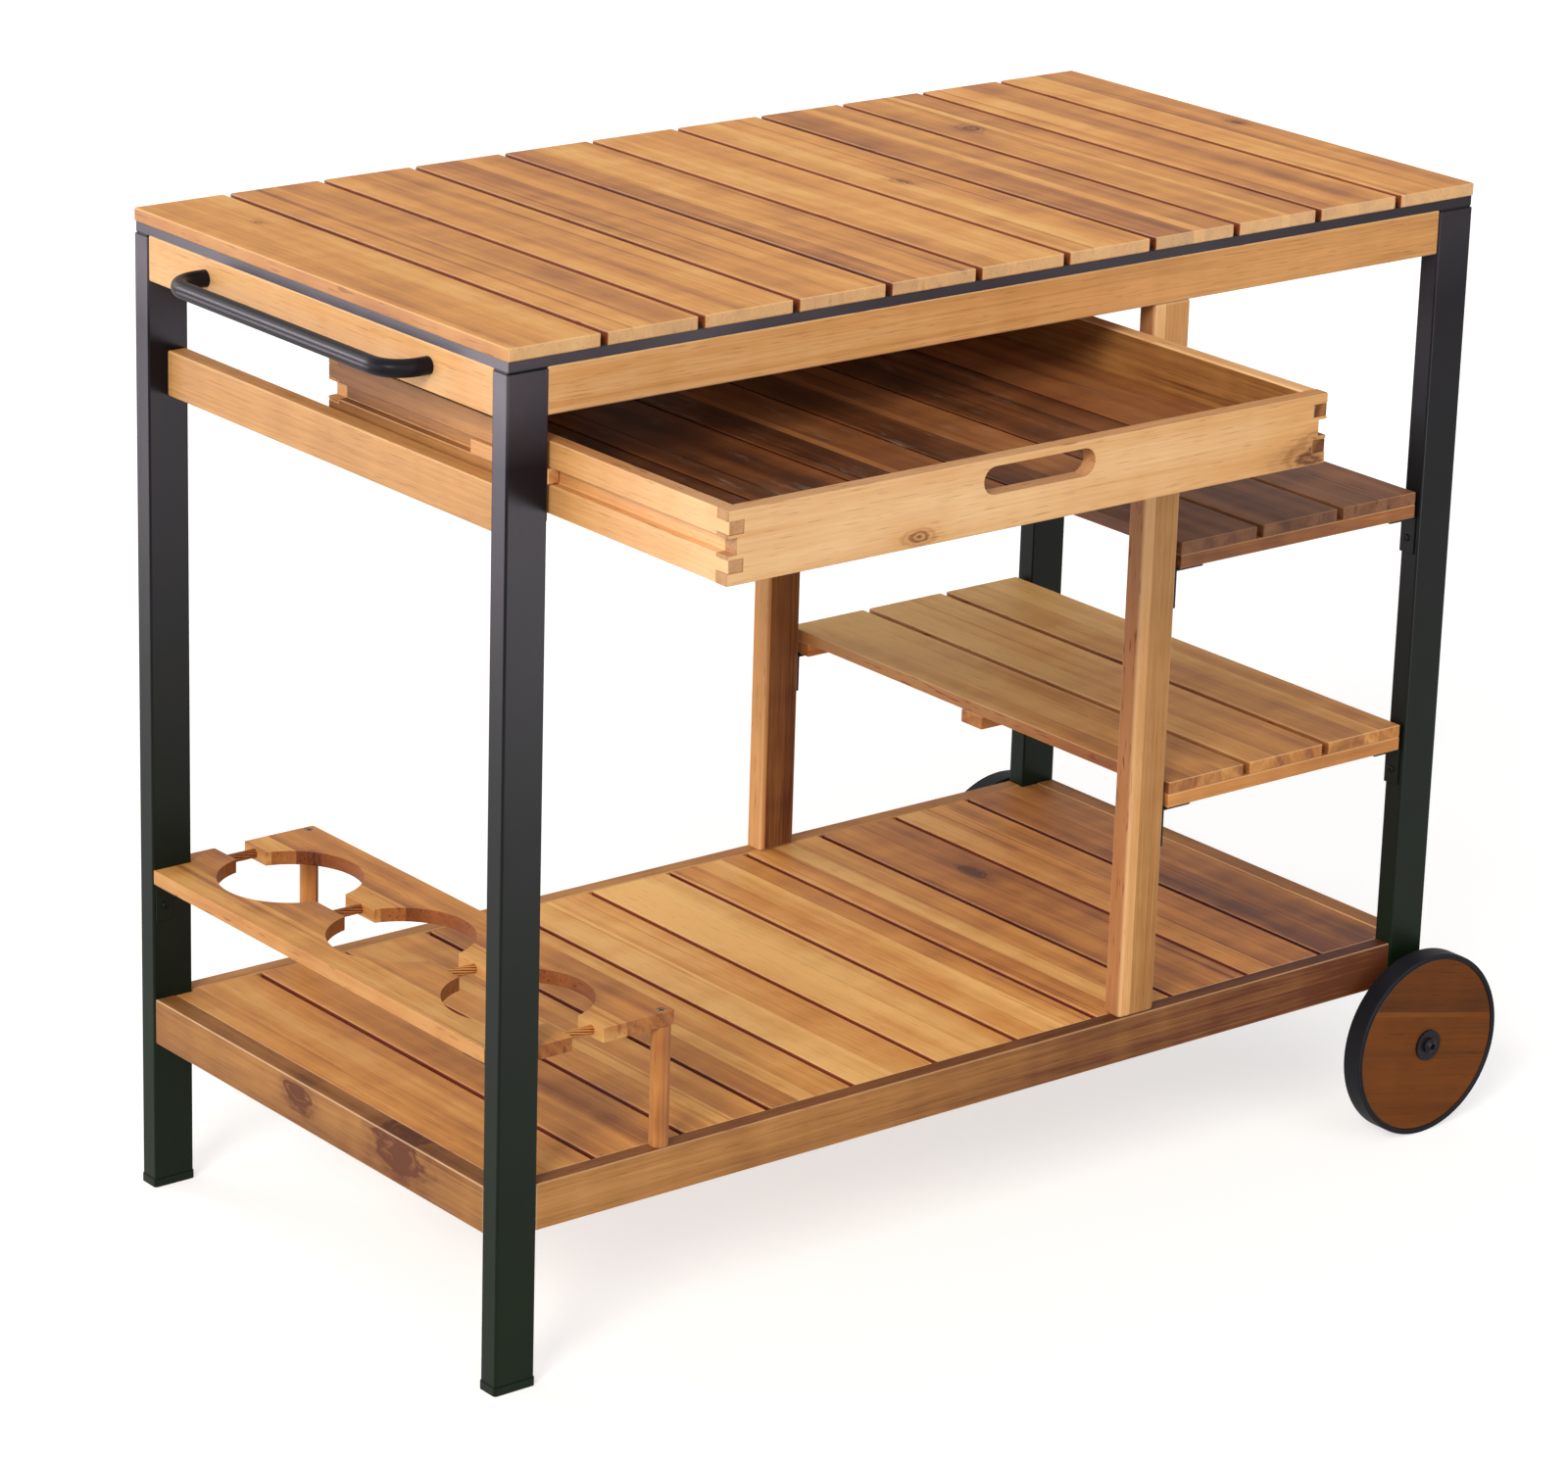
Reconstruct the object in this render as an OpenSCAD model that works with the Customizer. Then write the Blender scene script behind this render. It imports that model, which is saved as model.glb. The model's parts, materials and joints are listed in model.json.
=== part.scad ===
// Outdoor bar cart: steel legs, slatted wooden top, pull-out tray, two side shelves,
// bottle holder, push handle and two wheels. Millimetres, +Z up.
// The cart is laid out about the middle of its top, and the whole cart is then moved so that
// the origin is on the floor under the middle of its bounding box.

/* [Overall] */
// Length of the top, without the push handle and the wheels
cart_l = 1000; // [940:5:1080]
// Depth of the top, front to back
cart_w = 515; // [480:5:560]
// Height of the top above the floor
cart_h = 850; // [800:5:900]
// How far the tray stands pulled out at rest
tray_pull = 215.5; // [0:0.5:240]

/* [Legs] */
// Width of a leg tube, along the cart
leg_x = 38; // [34:1:44]
// Depth of a leg tube, front to back
leg_y = 20; // [18:1:26]
// Wall of a leg tube
leg_wall = 1.5; // [1.2:0.1:2]
// Corner radius of a leg tube
leg_r = 2; // [1.6:0.1:3]
// Height of a plug's foot under a left leg
foot_t = 7; // [5:1:12]
// How far a foot stands out past its tube
foot_flare = 0.8; // [0.4:0.1:1.2]
// Depth of a plug inside its tube
plug_depth = 18; // [12:1:24]
// Thickness of the cap between a leg and the top frame
cap_t = 2; // [1.5:0.5:3]
// Height of the right legs' lower ends above the floor
right_leg_z = 50; // [40:1:60]

/* [Top] */
// Number of slats in the top
top_slats = 11; // [9:1:12]
// Gap between two slats of the top
top_gap = 6.2; // [4:0.2:8]
// Thickness of every slat
slat_t = 11; // [9:0.5:14]
// Height of the steel top frame
frame_t = 8; // [6:1:10]
// Width of a bar of the top frame
frame_w = 20; // [16:1:26]
// How far the top frame lies inside the edge of the top
frame_inset = 1.2; // [0.6:0.2:2]
// Height of the four aprons
apron_h = 38; // [34:1:44]
// Thickness of the four aprons
apron_t = 18; // [14:1:20]
// How far the wooden rails lie behind the legs' outer faces
rail_inset = 1; // [0.4:0.2:2]

/* [Bottom shelf] */
// Height of the bottom shelf's surface
shelf_z = 172; // [160:1:190]
// Height of the four rails round the bottom shelf
shelf_rail_h = 40; // [36:1:44]
// Thickness of the front and back rails
shelf_rail_t = 16; // [14:1:18]
// Thickness of the two end rails
end_rail_t = 20; // [16:1:22]
// Gap between two slats of the bottom shelf
shelf_gap = 5; // [3:0.5:7]
// Height of the bearers under the bottom slats
bearer_h = 18; // [14:1:22]
// Width of the bearers under the bottom slats
bearer_w = 30; // [24:1:40]

/* [Posts] */
// Width of a post, along the cart
post_w = 39.5; // [34:0.5:44]
// Thickness of a post, front to back
post_t = 20; // [16:1:20]
// Edge radius of a post
post_r = 4; // [2:0.5:5]
// How far a post stands behind the aprons' faces
post_inset = 1; // [0.5:0.5:2]

/* [Tray] */
// Length of the tray, along the cart
tray_l = 590; // [560:1:596]
// Height of the tray
tray_h = 57; // [52:1:62]
// Gap between the tray's top and the aprons above it
tray_drop = 20; // [16:1:30]
// Thickness of the tray's four panels
tray_t = 14; // [12:1:16]
// Gap between the tray's left side and the left legs
tray_side_gap = 3; // [2:0.5:5]
// Gap between the tray's right side and the posts
tray_post_gap = 14; // [10:0.5:18]
// Gap between the pushed-in tray and the legs' back faces
tray_back_gap = 3; // [2:1:6]
// Height of the groove in each side, above the tray's underside
groove_z = 23; // [21:0.5:24]
// Height of the groove
groove_h = 13; // [11:0.5:14]
// Depth of the groove
groove_d = 8; // [6:0.5:9]
// Length of the hand slot
slot_l = 110; // [100:1:130]
// Height of the hand slot
slot_h = 22; // [20:0.5:24]
// Height of the slot's middle above the tray's underside
slot_z = 40; // [38:0.5:41]
// Height of a finger in the tray's corner joints
finger_h = 10.5; // [9:0.5:11]
// Height of the lower finger above the tray's underside
finger_low_z = 9.5; // [8:0.5:11]
// Height of the upper finger above the tray's underside
finger_high_z = 38.5; // [37.5:0.5:40]
// Number of slats in the tray's floor
tray_slats = 6; // [5:1:8]
// Gap between two slats of the tray's floor
tray_gap = 3; // [2:0.5:4]
// Thickness of the tray's floor
tray_floor_t = 10; // [8:0.5:11]
// Height of the battens under the tray's floor
tray_batten_h = 10.7; // [9:0.1:12]

/* [Tray runners] */
// Length of a guide strip, back from the front of the legs
guide_l = 100; // [80:1:140]
// Play of a guide strip in its groove, above, below and behind
guide_play = 0.6; // [0.3:0.1:1]
// Height of the rails beside the tray
tray_rail_h = 38; // [34:1:42]
// Thickness of the rails beside the tray
tray_rail_t = 18; // [14:1:20]
// Height of those rails' tops above the tray's underside
tray_rail_rise = 17; // [12:1:19]
// How far the left rail lies behind the left legs' inner faces
tray_rail_inset = 2; // [1:0.5:3]
// Height of the ledges that carry the tray
ledge_h = 12; // [10:1:16]
// How far a ledge reaches under the tray
ledge_reach = 12; // [9:0.5:14]
// Play between the tray and the ledges
ledge_play = 0.3; // [0.2:0.1:0.5]

/* [Side shelves] */
// Height of the upper shelf's surface
upper_shelf_z = 585; // [560:1:610]
// Height of the middle shelf's surface
middle_shelf_z = 375; // [350:1:400]
// Gap between a side shelf and the posts and legs beside it
bay_gap = 4; // [3:0.5:6]
// How far the side shelves lie behind the legs' outer faces
side_shelf_inset = 2; // [1:1:10]
// Gap between two slats of a side shelf
side_gap = 7; // [3:0.5:9]
// Height of the battens under a side shelf
batten_h = 12; // [10:1:15]
// Width of the battens under a side shelf
batten_w = 28; // [24:1:34]
// Thickness of the sheet that the angle brackets are bent from
bracket_t = 2; // [1.5:0.5:3]
// Width of an angle bracket
bracket_w = 16; // [12:1:18]
// Length of the leg of a bracket that lies under the wood
bracket_reach = 31; // [20:1:36]
// Length of the leg of a bracket that is screwed to a post or leg
bracket_drop = 32; // [26:1:40]

/* [Bottle holder] */
// Height of the boards' tops above the floor
holder_z = 287.5; // [270:0.5:310]
// Thickness of the two boards
holder_t = 12; // [11:0.5:14]
// Width of the left board
left_board_w = 71.5; // [66:0.5:78]
// Width of the right board
right_board_w = 70; // [64:0.5:76]
// Gap between the two boards
board_gap = 29.5; // [24:0.5:34]
// How far the left board lies behind the left legs' outer faces
board_inset = 0.6; // [0.4:0.2:2]
// How far the boards' ends lie behind the legs' outer faces
board_end_inset = 2.5; // [1:0.5:5]
// Radius of a bottle hole
bottle_r = 61.4; // [56:0.2:64]
// Distance between two bottle holes
bottle_pitch = 162; // [156:1:166]
// Diameter of the dowels that bridge the gap
bridge_d = 8; // [6:0.5:8.5]
// How deep a bridging dowel sits in each board
bridge_seat = 10; // [8:0.5:12]
// Diameter of the dowels under the right board
support_d = 16; // [14:0.5:18]
// Distance of the supporting dowels from the right board's outer edge
support_edge = 8.5; // [8:0.5:14]

/* [Push handle] */
// Diameter of the handle's bar
handle_d = 14.5; // [12:0.5:18]
// Distance between the two feet of the handle
handle_span = 308; // [280:1:340]
// Distance of the bar's middle from the left apron
handle_reach = 35; // [34:1:44]
// Radius of the handle's bends, at the bar's middle
handle_bend = 25; // [18:1:30]
// Height of the bar's middle above the left apron's lower edge
handle_rise = 20.5; // [14:0.5:26]

/* [Wheels] */
// Diameter of a wheel, with its tyre
wheel_d = 167; // [150:1:180]
// Thickness of a wheel's wooden disc
disc_t = 18; // [16:1:22]
// Thickness of the tyre, outwards from the disc
tyre_t = 5; // [4:0.5:7]
// Width of the tyre
tyre_w = 20; // [19:0.5:24]
// Gap between a leg and the wheel's disc
wheel_gap = 16.4; // [14:0.2:20]
// Diameter of the axle bolts
bolt_d = 8; // [7:0.5:10]
// Radial running clearance of a wheel's bush on its bolt
bolt_play = 0.05; // [0.03:0.01:0.08]
// Diameter of the bush in the disc
bush_d = 16; // [14:0.5:20]
// Diameter of the washer outside the disc
washer_d = 28; // [24:1:32]
// Thickness of the washer outside the disc
washer_t = 2; // [1.5:0.5:3]
// Gap on either side of the disc
axial_play = 0.3; // [0.2:0.1:0.5]

/* [Hidden] */
$fn = 64;

// Colours
wood_top = "#C98F55";
wood_frame = "#C98A4E";
wood_floor = "#A8693A";
wood_shelf = "#9C6039";
steel_black = "#26262A";
plastic_black = "#1B1B1D";
rubber_black = "#2A2A2C";

// Softening of the wooden pieces' long edges
edge_r = 1.4;
// Softening of the rails' and aprons' long edges
rail_r = 1.8;
// Least gap between a piece and what it only passes
slip = 0.3;
// Play between a plug, dowel or screw and its hole
fit_play = 0.1;
// How far a tool for a cut runs past the solid
over = 1;
// Corner radius inside a leg tube
leg_hole_r = 1;
// How far a top cap lies inside its tube, as a shadow gap
cap_inset = 1;
// How far the bottom slats lie below the rails round them
slat_sink = 0.5;

// Outer and inner faces of the legs
out_x = cart_l / 2;
out_y = cart_w / 2;
in_x = out_x - leg_x;
in_y = out_y - leg_y;
// Outer faces of the aprons and rails
rail_x = out_x - rail_inset;
rail_y = out_y - rail_inset;

// Heights from the top down
slat_z0 = cart_h - slat_t;
frame_z0 = slat_z0 - frame_t;
leg_top_z = frame_z0 - cap_t;
apron_z0 = frame_z0 - apron_h;

// Wheels
wheel_r = wheel_d / 2;
disc_r = wheel_r - tyre_t;
wheel_x = out_x - leg_x / 2;
bolt_r = bolt_d / 2;
bolt_hole_r = bolt_r + slip;
disc_y = out_y + wheel_gap;
washer_y = disc_y + disc_t + axial_play;
bolt_head_d = 14;
bolt_head_t = 5;
bolt_dome_r = 9;
bolt_rim = 0.7;
bolt_socket_d = 5.8;
bolt_socket_depth = 2.5;
bolt_tail = 2;
nut_d = 15;
nut_t = 7;
spacer_d = 18;
tyre_shoulder_r = 1.6;
tyre_groove_w = 0.8;

// Push handle
handle_r = handle_d / 2;
handle_z = apron_z0 + handle_rise;

// Where the cart's origin lies, from the middle of its top
box_left = -rail_x - handle_reach - handle_r;
box_right = wheel_x + wheel_r;
tray_y0 = -out_y - tray_pull;
box_back = washer_y + washer_t + bolt_head_t;
origin_x = (box_left + box_right) / 2;
origin_y = (tray_y0 + box_back) / 2;

// Slats of the top
top_slat_w = (cart_l - (top_slats - 1) * top_gap) / top_slats;
top_pitch = top_slat_w + top_gap;

// Bottom shelf
shelf_rail_z0 = shelf_z - shelf_rail_h;
shelf_in_x = rail_x - end_rail_t;
shelf_in_y = rail_y - shelf_rail_t;
shelf_slat_w = (2 * shelf_in_x - (top_slats - 1) * shelf_gap) / top_slats;
shelf_slat_z0 = shelf_z - slat_sink - slat_t;
bearer_z0 = shelf_slat_z0 - bearer_h;

// Tray, from its own front left lower corner
tray_x0 = -in_x + tray_side_gap;
tray_x1 = tray_x0 + tray_l;
tray_z = apron_z0 - tray_drop - tray_h;
tray_d = cart_w - tray_back_gap;
tray_in_l = tray_l - 2 * tray_t;
tray_slat_w = (tray_in_l - (tray_slats - 1) * tray_gap) / tray_slats;
tray_batten_w = 28;
tray_floor_z = tray_batten_h + tray_floor_t;

// Posts, beside the tray
post_x0 = tray_x1 + tray_post_gap;
post_x1 = post_x0 + post_w;
post_y = rail_y - post_inset;
post_in_y = post_y - post_t;

// Tray runners
guide_z0 = tray_z + groove_z + guide_play;
guide_z1 = tray_z + groove_z + groove_h - guide_play;
guide_in = groove_d - guide_play;
tray_rail_z1 = tray_z + tray_rail_rise;
tray_rail_z0 = tray_rail_z1 - tray_rail_h;
left_rail_in = -in_x - tray_rail_inset;
ledge_z1 = tray_z - ledge_play;

// Side shelves
bay_x0 = post_x1 + bay_gap;
bay_x1 = in_x - bay_gap;
side_slats = 3;
side_slat_w = (bay_x1 - bay_x0 - (side_slats - 1) * side_gap) / side_slats;
side_y = out_y - side_shelf_inset;

// Bottle holder
left_board_x0 = -out_x + board_inset;
left_board_x1 = left_board_x0 + left_board_w;
right_board_x0 = left_board_x1 + board_gap;
right_board_x1 = right_board_x0 + right_board_w;
bottle_x = (left_board_x1 + right_board_x0) / 2;
board_y = out_y - board_end_inset;
holder_z0 = holder_z - holder_t;
bridge_r = bridge_d / 2;
bridge_end_y = (board_y + bottle_pitch + bottle_r) / 2;
support_x = right_board_x1 - support_edge;
support_y = rail_y - shelf_rail_t / 2;
screw_head_r = 4;
screw_r = 2;
screw_head_t = 3;
screw_sink = 0.4;
screw_l = 36;

// General shapes

// Rectangle with round corners, its lower left corner at the origin
module soft_rect(size, r) {
    translate([r, 0]) square([size[0] - 2 * r, size[1]]);
    translate([0, r]) square([size[0], size[1] - 2 * r]);
    for (x = [r, size[0] - r], y = [r, size[1] - r])
        translate([x, y]) circle(r);
}

// Bars with soft long edges, between two places along each axis
module bar_x(x, y, z, r) {
    translate([x[0], 0, 0]) rotate([90, 0, 90]) linear_extrude(x[1] - x[0])
        translate([y[0], z[0]]) soft_rect([y[1] - y[0], z[1] - z[0]], r);
}

module bar_y(x, y, z, r) {
    translate([0, y[1], 0]) rotate([90, 0, 0]) linear_extrude(y[1] - y[0])
        translate([x[0], z[0]]) soft_rect([x[1] - x[0], z[1] - z[0]], r);
}

module bar_z(x, y, z, r) {
    translate([0, 0, z[0]]) linear_extrude(z[1] - z[0])
        translate([x[0], y[0]]) soft_rect([x[1] - x[0], y[1] - y[0]], r);
}

module box(x, y, z) {
    translate([x[0], y[0], z[0]]) cube([x[1] - x[0], y[1] - y[0], z[1] - z[0]]);
}

// Cylinder along Y from one place to another
module rod_y(x, y, z, r) {
    translate([x, y[1], z]) rotate([90, 0, 0]) cylinder(h = y[1] - y[0], r = r);
}

// Cylinder along X from one place to another
module rod_x(x, y, z, r) {
    translate([x[0], y, z]) rotate([0, 90, 0]) cylinder(h = x[1] - x[0], r = r);
}

// Moves a piece from the middle of the cart to the cart's origin
module placed() {
    translate([-origin_x, -origin_y, 0]) children();
}

// The back half of the cart mirrors the front half
module side_of(back) {
    if (back) mirror([0, 1, 0]) children();
    else children();
}

// Legs

module leg_outline() {
    translate([-leg_x / 2, -leg_y / 2]) soft_rect([leg_x, leg_y], leg_r);
}

module leg_hole_outline() {
    translate([-leg_x / 2 + leg_wall, -leg_y / 2 + leg_wall])
        soft_rect([leg_x - 2 * leg_wall, leg_y - 2 * leg_wall], leg_hole_r);
}

// Middle of a leg: side is -1 for the left end and 1 for the right end
module at_leg(side, end) {
    translate([side * (out_x - leg_x / 2), end * (out_y - leg_y / 2), 0]) children();
}

module leg(side, end) {
    z0 = side < 0 ? foot_t : right_leg_z;
    difference() {
        at_leg(side, end) translate([0, 0, z0]) linear_extrude(leg_top_z - z0) difference() {
            leg_outline();
            leg_hole_outline();
        }
        if (side > 0)
            rod_y(wheel_x, end > 0 ? [in_y - over, out_y + over] : [-out_y - over, -in_y + over],
                wheel_r, bolt_hole_r);
    }
}

// The part of a plug that grips inside the tube
module plug_core(z0, z1) {
    core_x = leg_x - 2 * leg_wall - 2 * fit_play;
    core_y = leg_y - 2 * leg_wall - 2 * fit_play;
    translate([-core_x / 2, -core_y / 2, z0])
        linear_extrude(z1 - z0) soft_rect([core_x, core_y], leg_hole_r);
}

module leg_bottom_plug(side) {
    flare = side < 0 ? foot_flare : 0;
    plate_t = side < 0 ? foot_t : cap_t;
    z1 = side < 0 ? foot_t : right_leg_z;
    translate([-leg_x / 2 - flare, -leg_y / 2 - flare, z1 - plate_t])
        linear_extrude(plate_t)
        soft_rect([leg_x + 2 * flare, leg_y + 2 * flare], leg_r + flare);
    plug_core(z1, z1 + plug_depth);
}

module leg_top_cap() {
    translate([-leg_x / 2 + cap_inset, -leg_y / 2 + cap_inset, leg_top_z]) linear_extrude(cap_t)
        soft_rect([leg_x - 2 * cap_inset, leg_y - 2 * cap_inset], leg_r);
    plug_core(leg_top_z - plug_depth, leg_top_z);
}

// Top

// A bar of the frame along one side, its ends cut at 45 degrees
module mitred_bar(long, deep) {
    linear_extrude(frame_t)
        polygon([[-long, -deep], [long, -deep],
                 [long - frame_w, -deep + frame_w], [-long + frame_w, -deep + frame_w]]);
}

module top_frame_bars() {
    fx = out_x - frame_inset;
    fy = out_y - frame_inset;
    translate([0, 0, frame_z0]) {
        for (turn = [0, 180]) {
            rotate(turn) mitred_bar(fx, fy);
            rotate(turn + 90) mitred_bar(fy, fx);
        }
        translate([-fx + frame_w, -frame_w / 2, 0])
            cube([2 * (fx - frame_w), frame_w, frame_t]);
    }
}

module worktop_slat(i) {
    x0 = -out_x + i * top_pitch;
    bar_y([x0, x0 + top_slat_w], [-out_y, out_y], [slat_z0, cart_h], edge_r);
}

module apron_long() {
    bar_x([-in_x, in_x], [-rail_y, -rail_y + apron_t], [apron_z0, frame_z0], rail_r);
}

module apron_short() {
    bar_y([-rail_x, -rail_x + apron_t], [-in_y, in_y], [apron_z0, frame_z0], rail_r);
}

// Bottom shelf

module shelf_rail_long() {
    bar_x([-in_x, in_x], [-rail_y, -shelf_in_y], [shelf_rail_z0, shelf_z], rail_r);
}

module shelf_rail_short() {
    bar_y([-rail_x, -shelf_in_x], [-in_y, in_y], [shelf_rail_z0, shelf_z], rail_r);
}

// The end slats are cut round the legs and the rails behind them
module bottom_slats() {
    y = shelf_in_y;
    difference() {
        for (i = [0 : top_slats - 1]) {
            x0 = -shelf_in_x + i * (shelf_slat_w + shelf_gap);
            bar_y([x0, x0 + shelf_slat_w], [-y, y], [shelf_slat_z0, shelf_slat_z0 + slat_t],
                edge_r);
        }
        for (side = [-1, 1], end = [-1, 1])
            at_leg(side, end)
                translate([-leg_x / 2 - slip, -leg_y / 2 - slip, shelf_slat_z0 - over])
                cube([leg_x + 2 * slip, leg_y + 2 * slip, slat_t + 2 * over]);
    }
}

module bottom_bearers() {
    reach = in_x - slip;
    z = [bearer_z0, shelf_slat_z0];
    for (y = [-shelf_in_y, shelf_in_y - bearer_w])
        bar_x([-reach, reach], [y, y + bearer_w], z, edge_r);
    bar_x([-shelf_in_x, shelf_in_x], [-bearer_w / 2, bearer_w / 2], z, edge_r);
}

module post() {
    bar_z([post_x0, post_x1], [-post_y, -post_in_y], [shelf_z, apron_z0], post_r);
}

// Tray

module at_tray() {
    translate([tray_x0, tray_y0, tray_z]) children();
}

// Both side grooves, cut through the front and back panels too
module tray_grooves() {
    for (x = [-over, tray_l - groove_d])
        translate([x, -over, groove_z]) cube([groove_d + over, tray_d + 2 * over, groove_h]);
}

// The fingers of a side panel, at both of its ends
module side_fingers() {
    for (z = [finger_low_z, finger_high_z], y = [0, tray_d - tray_t])
        translate([0, y, z]) cube([tray_t, tray_t, finger_h]);
}

module slot_outline() {
    square([slot_l - slot_h, slot_h], center = true);
    for (side = [-1, 1]) translate([side * (slot_l - slot_h) / 2, 0]) circle(slot_h / 2);
}

module tray_front() {
    difference() {
        bar_x([0, tray_l], [0, tray_t], [0, tray_h], edge_r);
        for (x = [0, tray_l - tray_t]) translate([x, 0, 0]) side_fingers();
        tray_grooves();
        translate([tray_l / 2, tray_t + over, slot_z]) rotate([90, 0, 0])
            linear_extrude(tray_t + 2 * over) slot_outline();
    }
}

module tray_side() {
    difference() {
        union() {
            bar_y([0, tray_t], [tray_t, tray_d - tray_t], [0, tray_h], edge_r);
            side_fingers();
        }
        tray_grooves();
    }
}

module tray_floor() {
    for (i = [0 : tray_slats - 1]) {
        x0 = tray_t + i * (tray_slat_w + tray_gap);
        bar_y([x0, x0 + tray_slat_w], [tray_t, tray_d - tray_t],
            [tray_batten_h, tray_floor_z], edge_r);
    }
}

module tray_battens() {
    first = tray_t;
    last = tray_d - tray_t - tray_batten_w;
    for (y = [first, (first + last) / 2, last])
        bar_x([tray_t, tray_l - tray_t], [y, y + tray_batten_w], [0, tray_batten_h], edge_r);
}

// Strips that run in the tray's grooves, fixed to the front leg and to the front post
module guides() {
    y = [-out_y, -out_y + guide_l];
    z = [guide_z0, guide_z1];
    box([-in_x, tray_x0 + guide_in], y, z);
    box([tray_x1 - guide_in, post_x0], [-post_y, -out_y + guide_l], z);
}

module ledges() {
    z = [ledge_z1 - ledge_h, ledge_z1];
    box([left_rail_in, tray_x0 + ledge_reach], [-in_y, in_y], z);
    box([tray_x1 - ledge_reach, post_x0], [-post_in_y, post_in_y], z);
}

module rail_beside_tray(x0) {
    z = [tray_rail_z0, tray_rail_z1];
    y = x0 < 0 ? in_y : post_in_y;
    bar_y([x0, x0 + tray_rail_t], [-y, y], z, rail_r);
}

// Side shelves

module side_shelf_slats(top_z) {
    for (i = [0 : side_slats - 1]) {
        x0 = bay_x0 + i * (side_slat_w + side_gap);
        bar_y([x0, x0 + side_slat_w], [-side_y, side_y], [top_z - slat_t, top_z], edge_r);
    }
}

module shelf_battens(top_z) {
    z = [top_z - slat_t - batten_h, top_z - slat_t];
    for (y = [-side_y, -batten_w / 2, side_y - batten_w])
        bar_x([bay_x0, bay_x1], [y, y + batten_w], z, edge_r);
}

// Angle bracket at the front: turn is 1 where it points right and -1 where it points left
module bracket(x, y, z, turn) {
    translate([x, y, z]) turned_left(turn < 0) {
        translate([0, 0, -bracket_t]) cube([bracket_reach, bracket_w, bracket_t]);
        translate([0, 0, -bracket_t - bracket_drop]) cube([bracket_t, bracket_w, bracket_drop]);
    }
}

module turned_left(left) {
    if (left) mirror([1, 0, 0]) children();
    else children();
}

// The bracket under the left board stands on the leg's inner face, turned a quarter
module holder_bracket() {
    x = -out_x + leg_r;
    translate([x, -in_y, holder_z0 - bracket_t])
        cube([bracket_w, bracket_reach, bracket_t]);
    translate([x, -in_y, holder_z0 - bracket_t - bracket_drop])
        cube([bracket_w, bracket_t, bracket_drop]);
}

module all_brackets() {
    y = -post_y + (post_t - bracket_w) / 2;
    for (back = [false, true]) side_of(back) {
        for (top_z = [upper_shelf_z, middle_shelf_z]) {
            z = top_z - slat_t - batten_h;
            bracket(post_x1, y, z, 1);
            bracket(in_x, y, z, -1);
        }
        holder_bracket();
    }
}

// Bottle holder

module bottle_holes() {
    for (i = [-1 : 1])
        translate([bottle_x, i * bottle_pitch, holder_z0 - over])
            cylinder(h = holder_t + 2 * over, r = bottle_r, $fn = 128);
}

module bridge_rods(r, seat) {
    x = [left_board_x1 - seat, right_board_x0 + seat];
    for (y = [-bridge_end_y, -bottle_pitch / 2, bottle_pitch / 2, bridge_end_y])
        rod_x(x, y, holder_z - holder_t / 2, r);
}

// A countersunk screw through the board into the dowel under it
module holder_screw(play) {
    tip_z = holder_z - screw_l - play;
    head_z = holder_z - screw_sink;
    top_z = play > 0 ? holder_z + over : head_z;
    translate([support_x, 0, 0]) rotate_extrude()
        polygon([[0, tip_z], [screw_r + play, tip_z],
                 [screw_r + play, head_z - screw_head_t],
                 [screw_head_r + play, head_z - play],
                 [screw_head_r + play, top_z], [0, top_z]]);
}

module at_supports() {
    for (end = [-1, 1]) translate([0, end * support_y, 0]) children();
}

// The left board runs past the legs on their inner side
module left_board() {
    difference() {
        bar_z([left_board_x0, left_board_x1], [-board_y, board_y], [holder_z0, holder_z], edge_r);
        for (end = [-1, 1])
            at_leg(-1, end) translate([-leg_x, -leg_y / 2 - slip, holder_z0 - over])
                cube([leg_x * 1.5 + slip, leg_y + 2 * slip, holder_t + 2 * over]);
        bottle_holes();
        bridge_rods(bridge_r + fit_play, bridge_seat + fit_play);
    }
}

module right_board() {
    difference() {
        bar_z([right_board_x0, right_board_x1], [-board_y, board_y], [holder_z0, holder_z],
            edge_r);
        bottle_holes();
        bridge_rods(bridge_r + fit_play, bridge_seat + fit_play);
        at_supports() holder_screw(fit_play);
    }
}

module support_dowels() {
    difference() {
        at_supports() translate([support_x, 0, shelf_z])
            cylinder(h = holder_z0 - shelf_z, d = support_d);
        at_supports() holder_screw(fit_play);
    }
}

// Push handle

module handle_bend_piece() {
    rotate_extrude(angle = 90) translate([handle_bend, 0]) circle(handle_r);
}

module handle_bar() {
    half = handle_span / 2;
    outer = -rail_x - handle_reach;
    bend_x = outer + handle_bend;
    bend_y = half - handle_bend;
    translate([0, 0, handle_z]) {
        rod_y(outer, [-bend_y, bend_y], 0, handle_r);
        for (back = [false, true]) side_of(back) {
            rod_x([bend_x, -rail_x], -half, 0, handle_r);
            translate([bend_x, -bend_y, 0]) rotate(180) handle_bend_piece();
        }
    }
}

// Wheels, drawn at the front

module wheel_disc() {
    difference() {
        rod_y(wheel_x, [-disc_y - disc_t, -disc_y], wheel_r, disc_r);
        rod_y(wheel_x, [-disc_y - disc_t - over, -disc_y + over], wheel_r, bush_d / 2);
    }
}

// Tyre with a flat tread, round shoulders and a groove round each side
module wheel_tyre() {
    groove_depth = (tyre_w - disc_t) / 2;
    translate([wheel_x, -disc_y - disc_t / 2, wheel_r]) rotate([90, 0, 0]) rotate_extrude($fn = 128)
        difference() {
            translate([disc_r, -tyre_w / 2]) soft_rect([tyre_t, tyre_w], tyre_shoulder_r);
            for (side = [-1, 1])
                translate([disc_r + tyre_t / 2, side * tyre_w / 2])
                    square([tyre_groove_w, groove_depth], center = true);
        }
}

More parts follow.
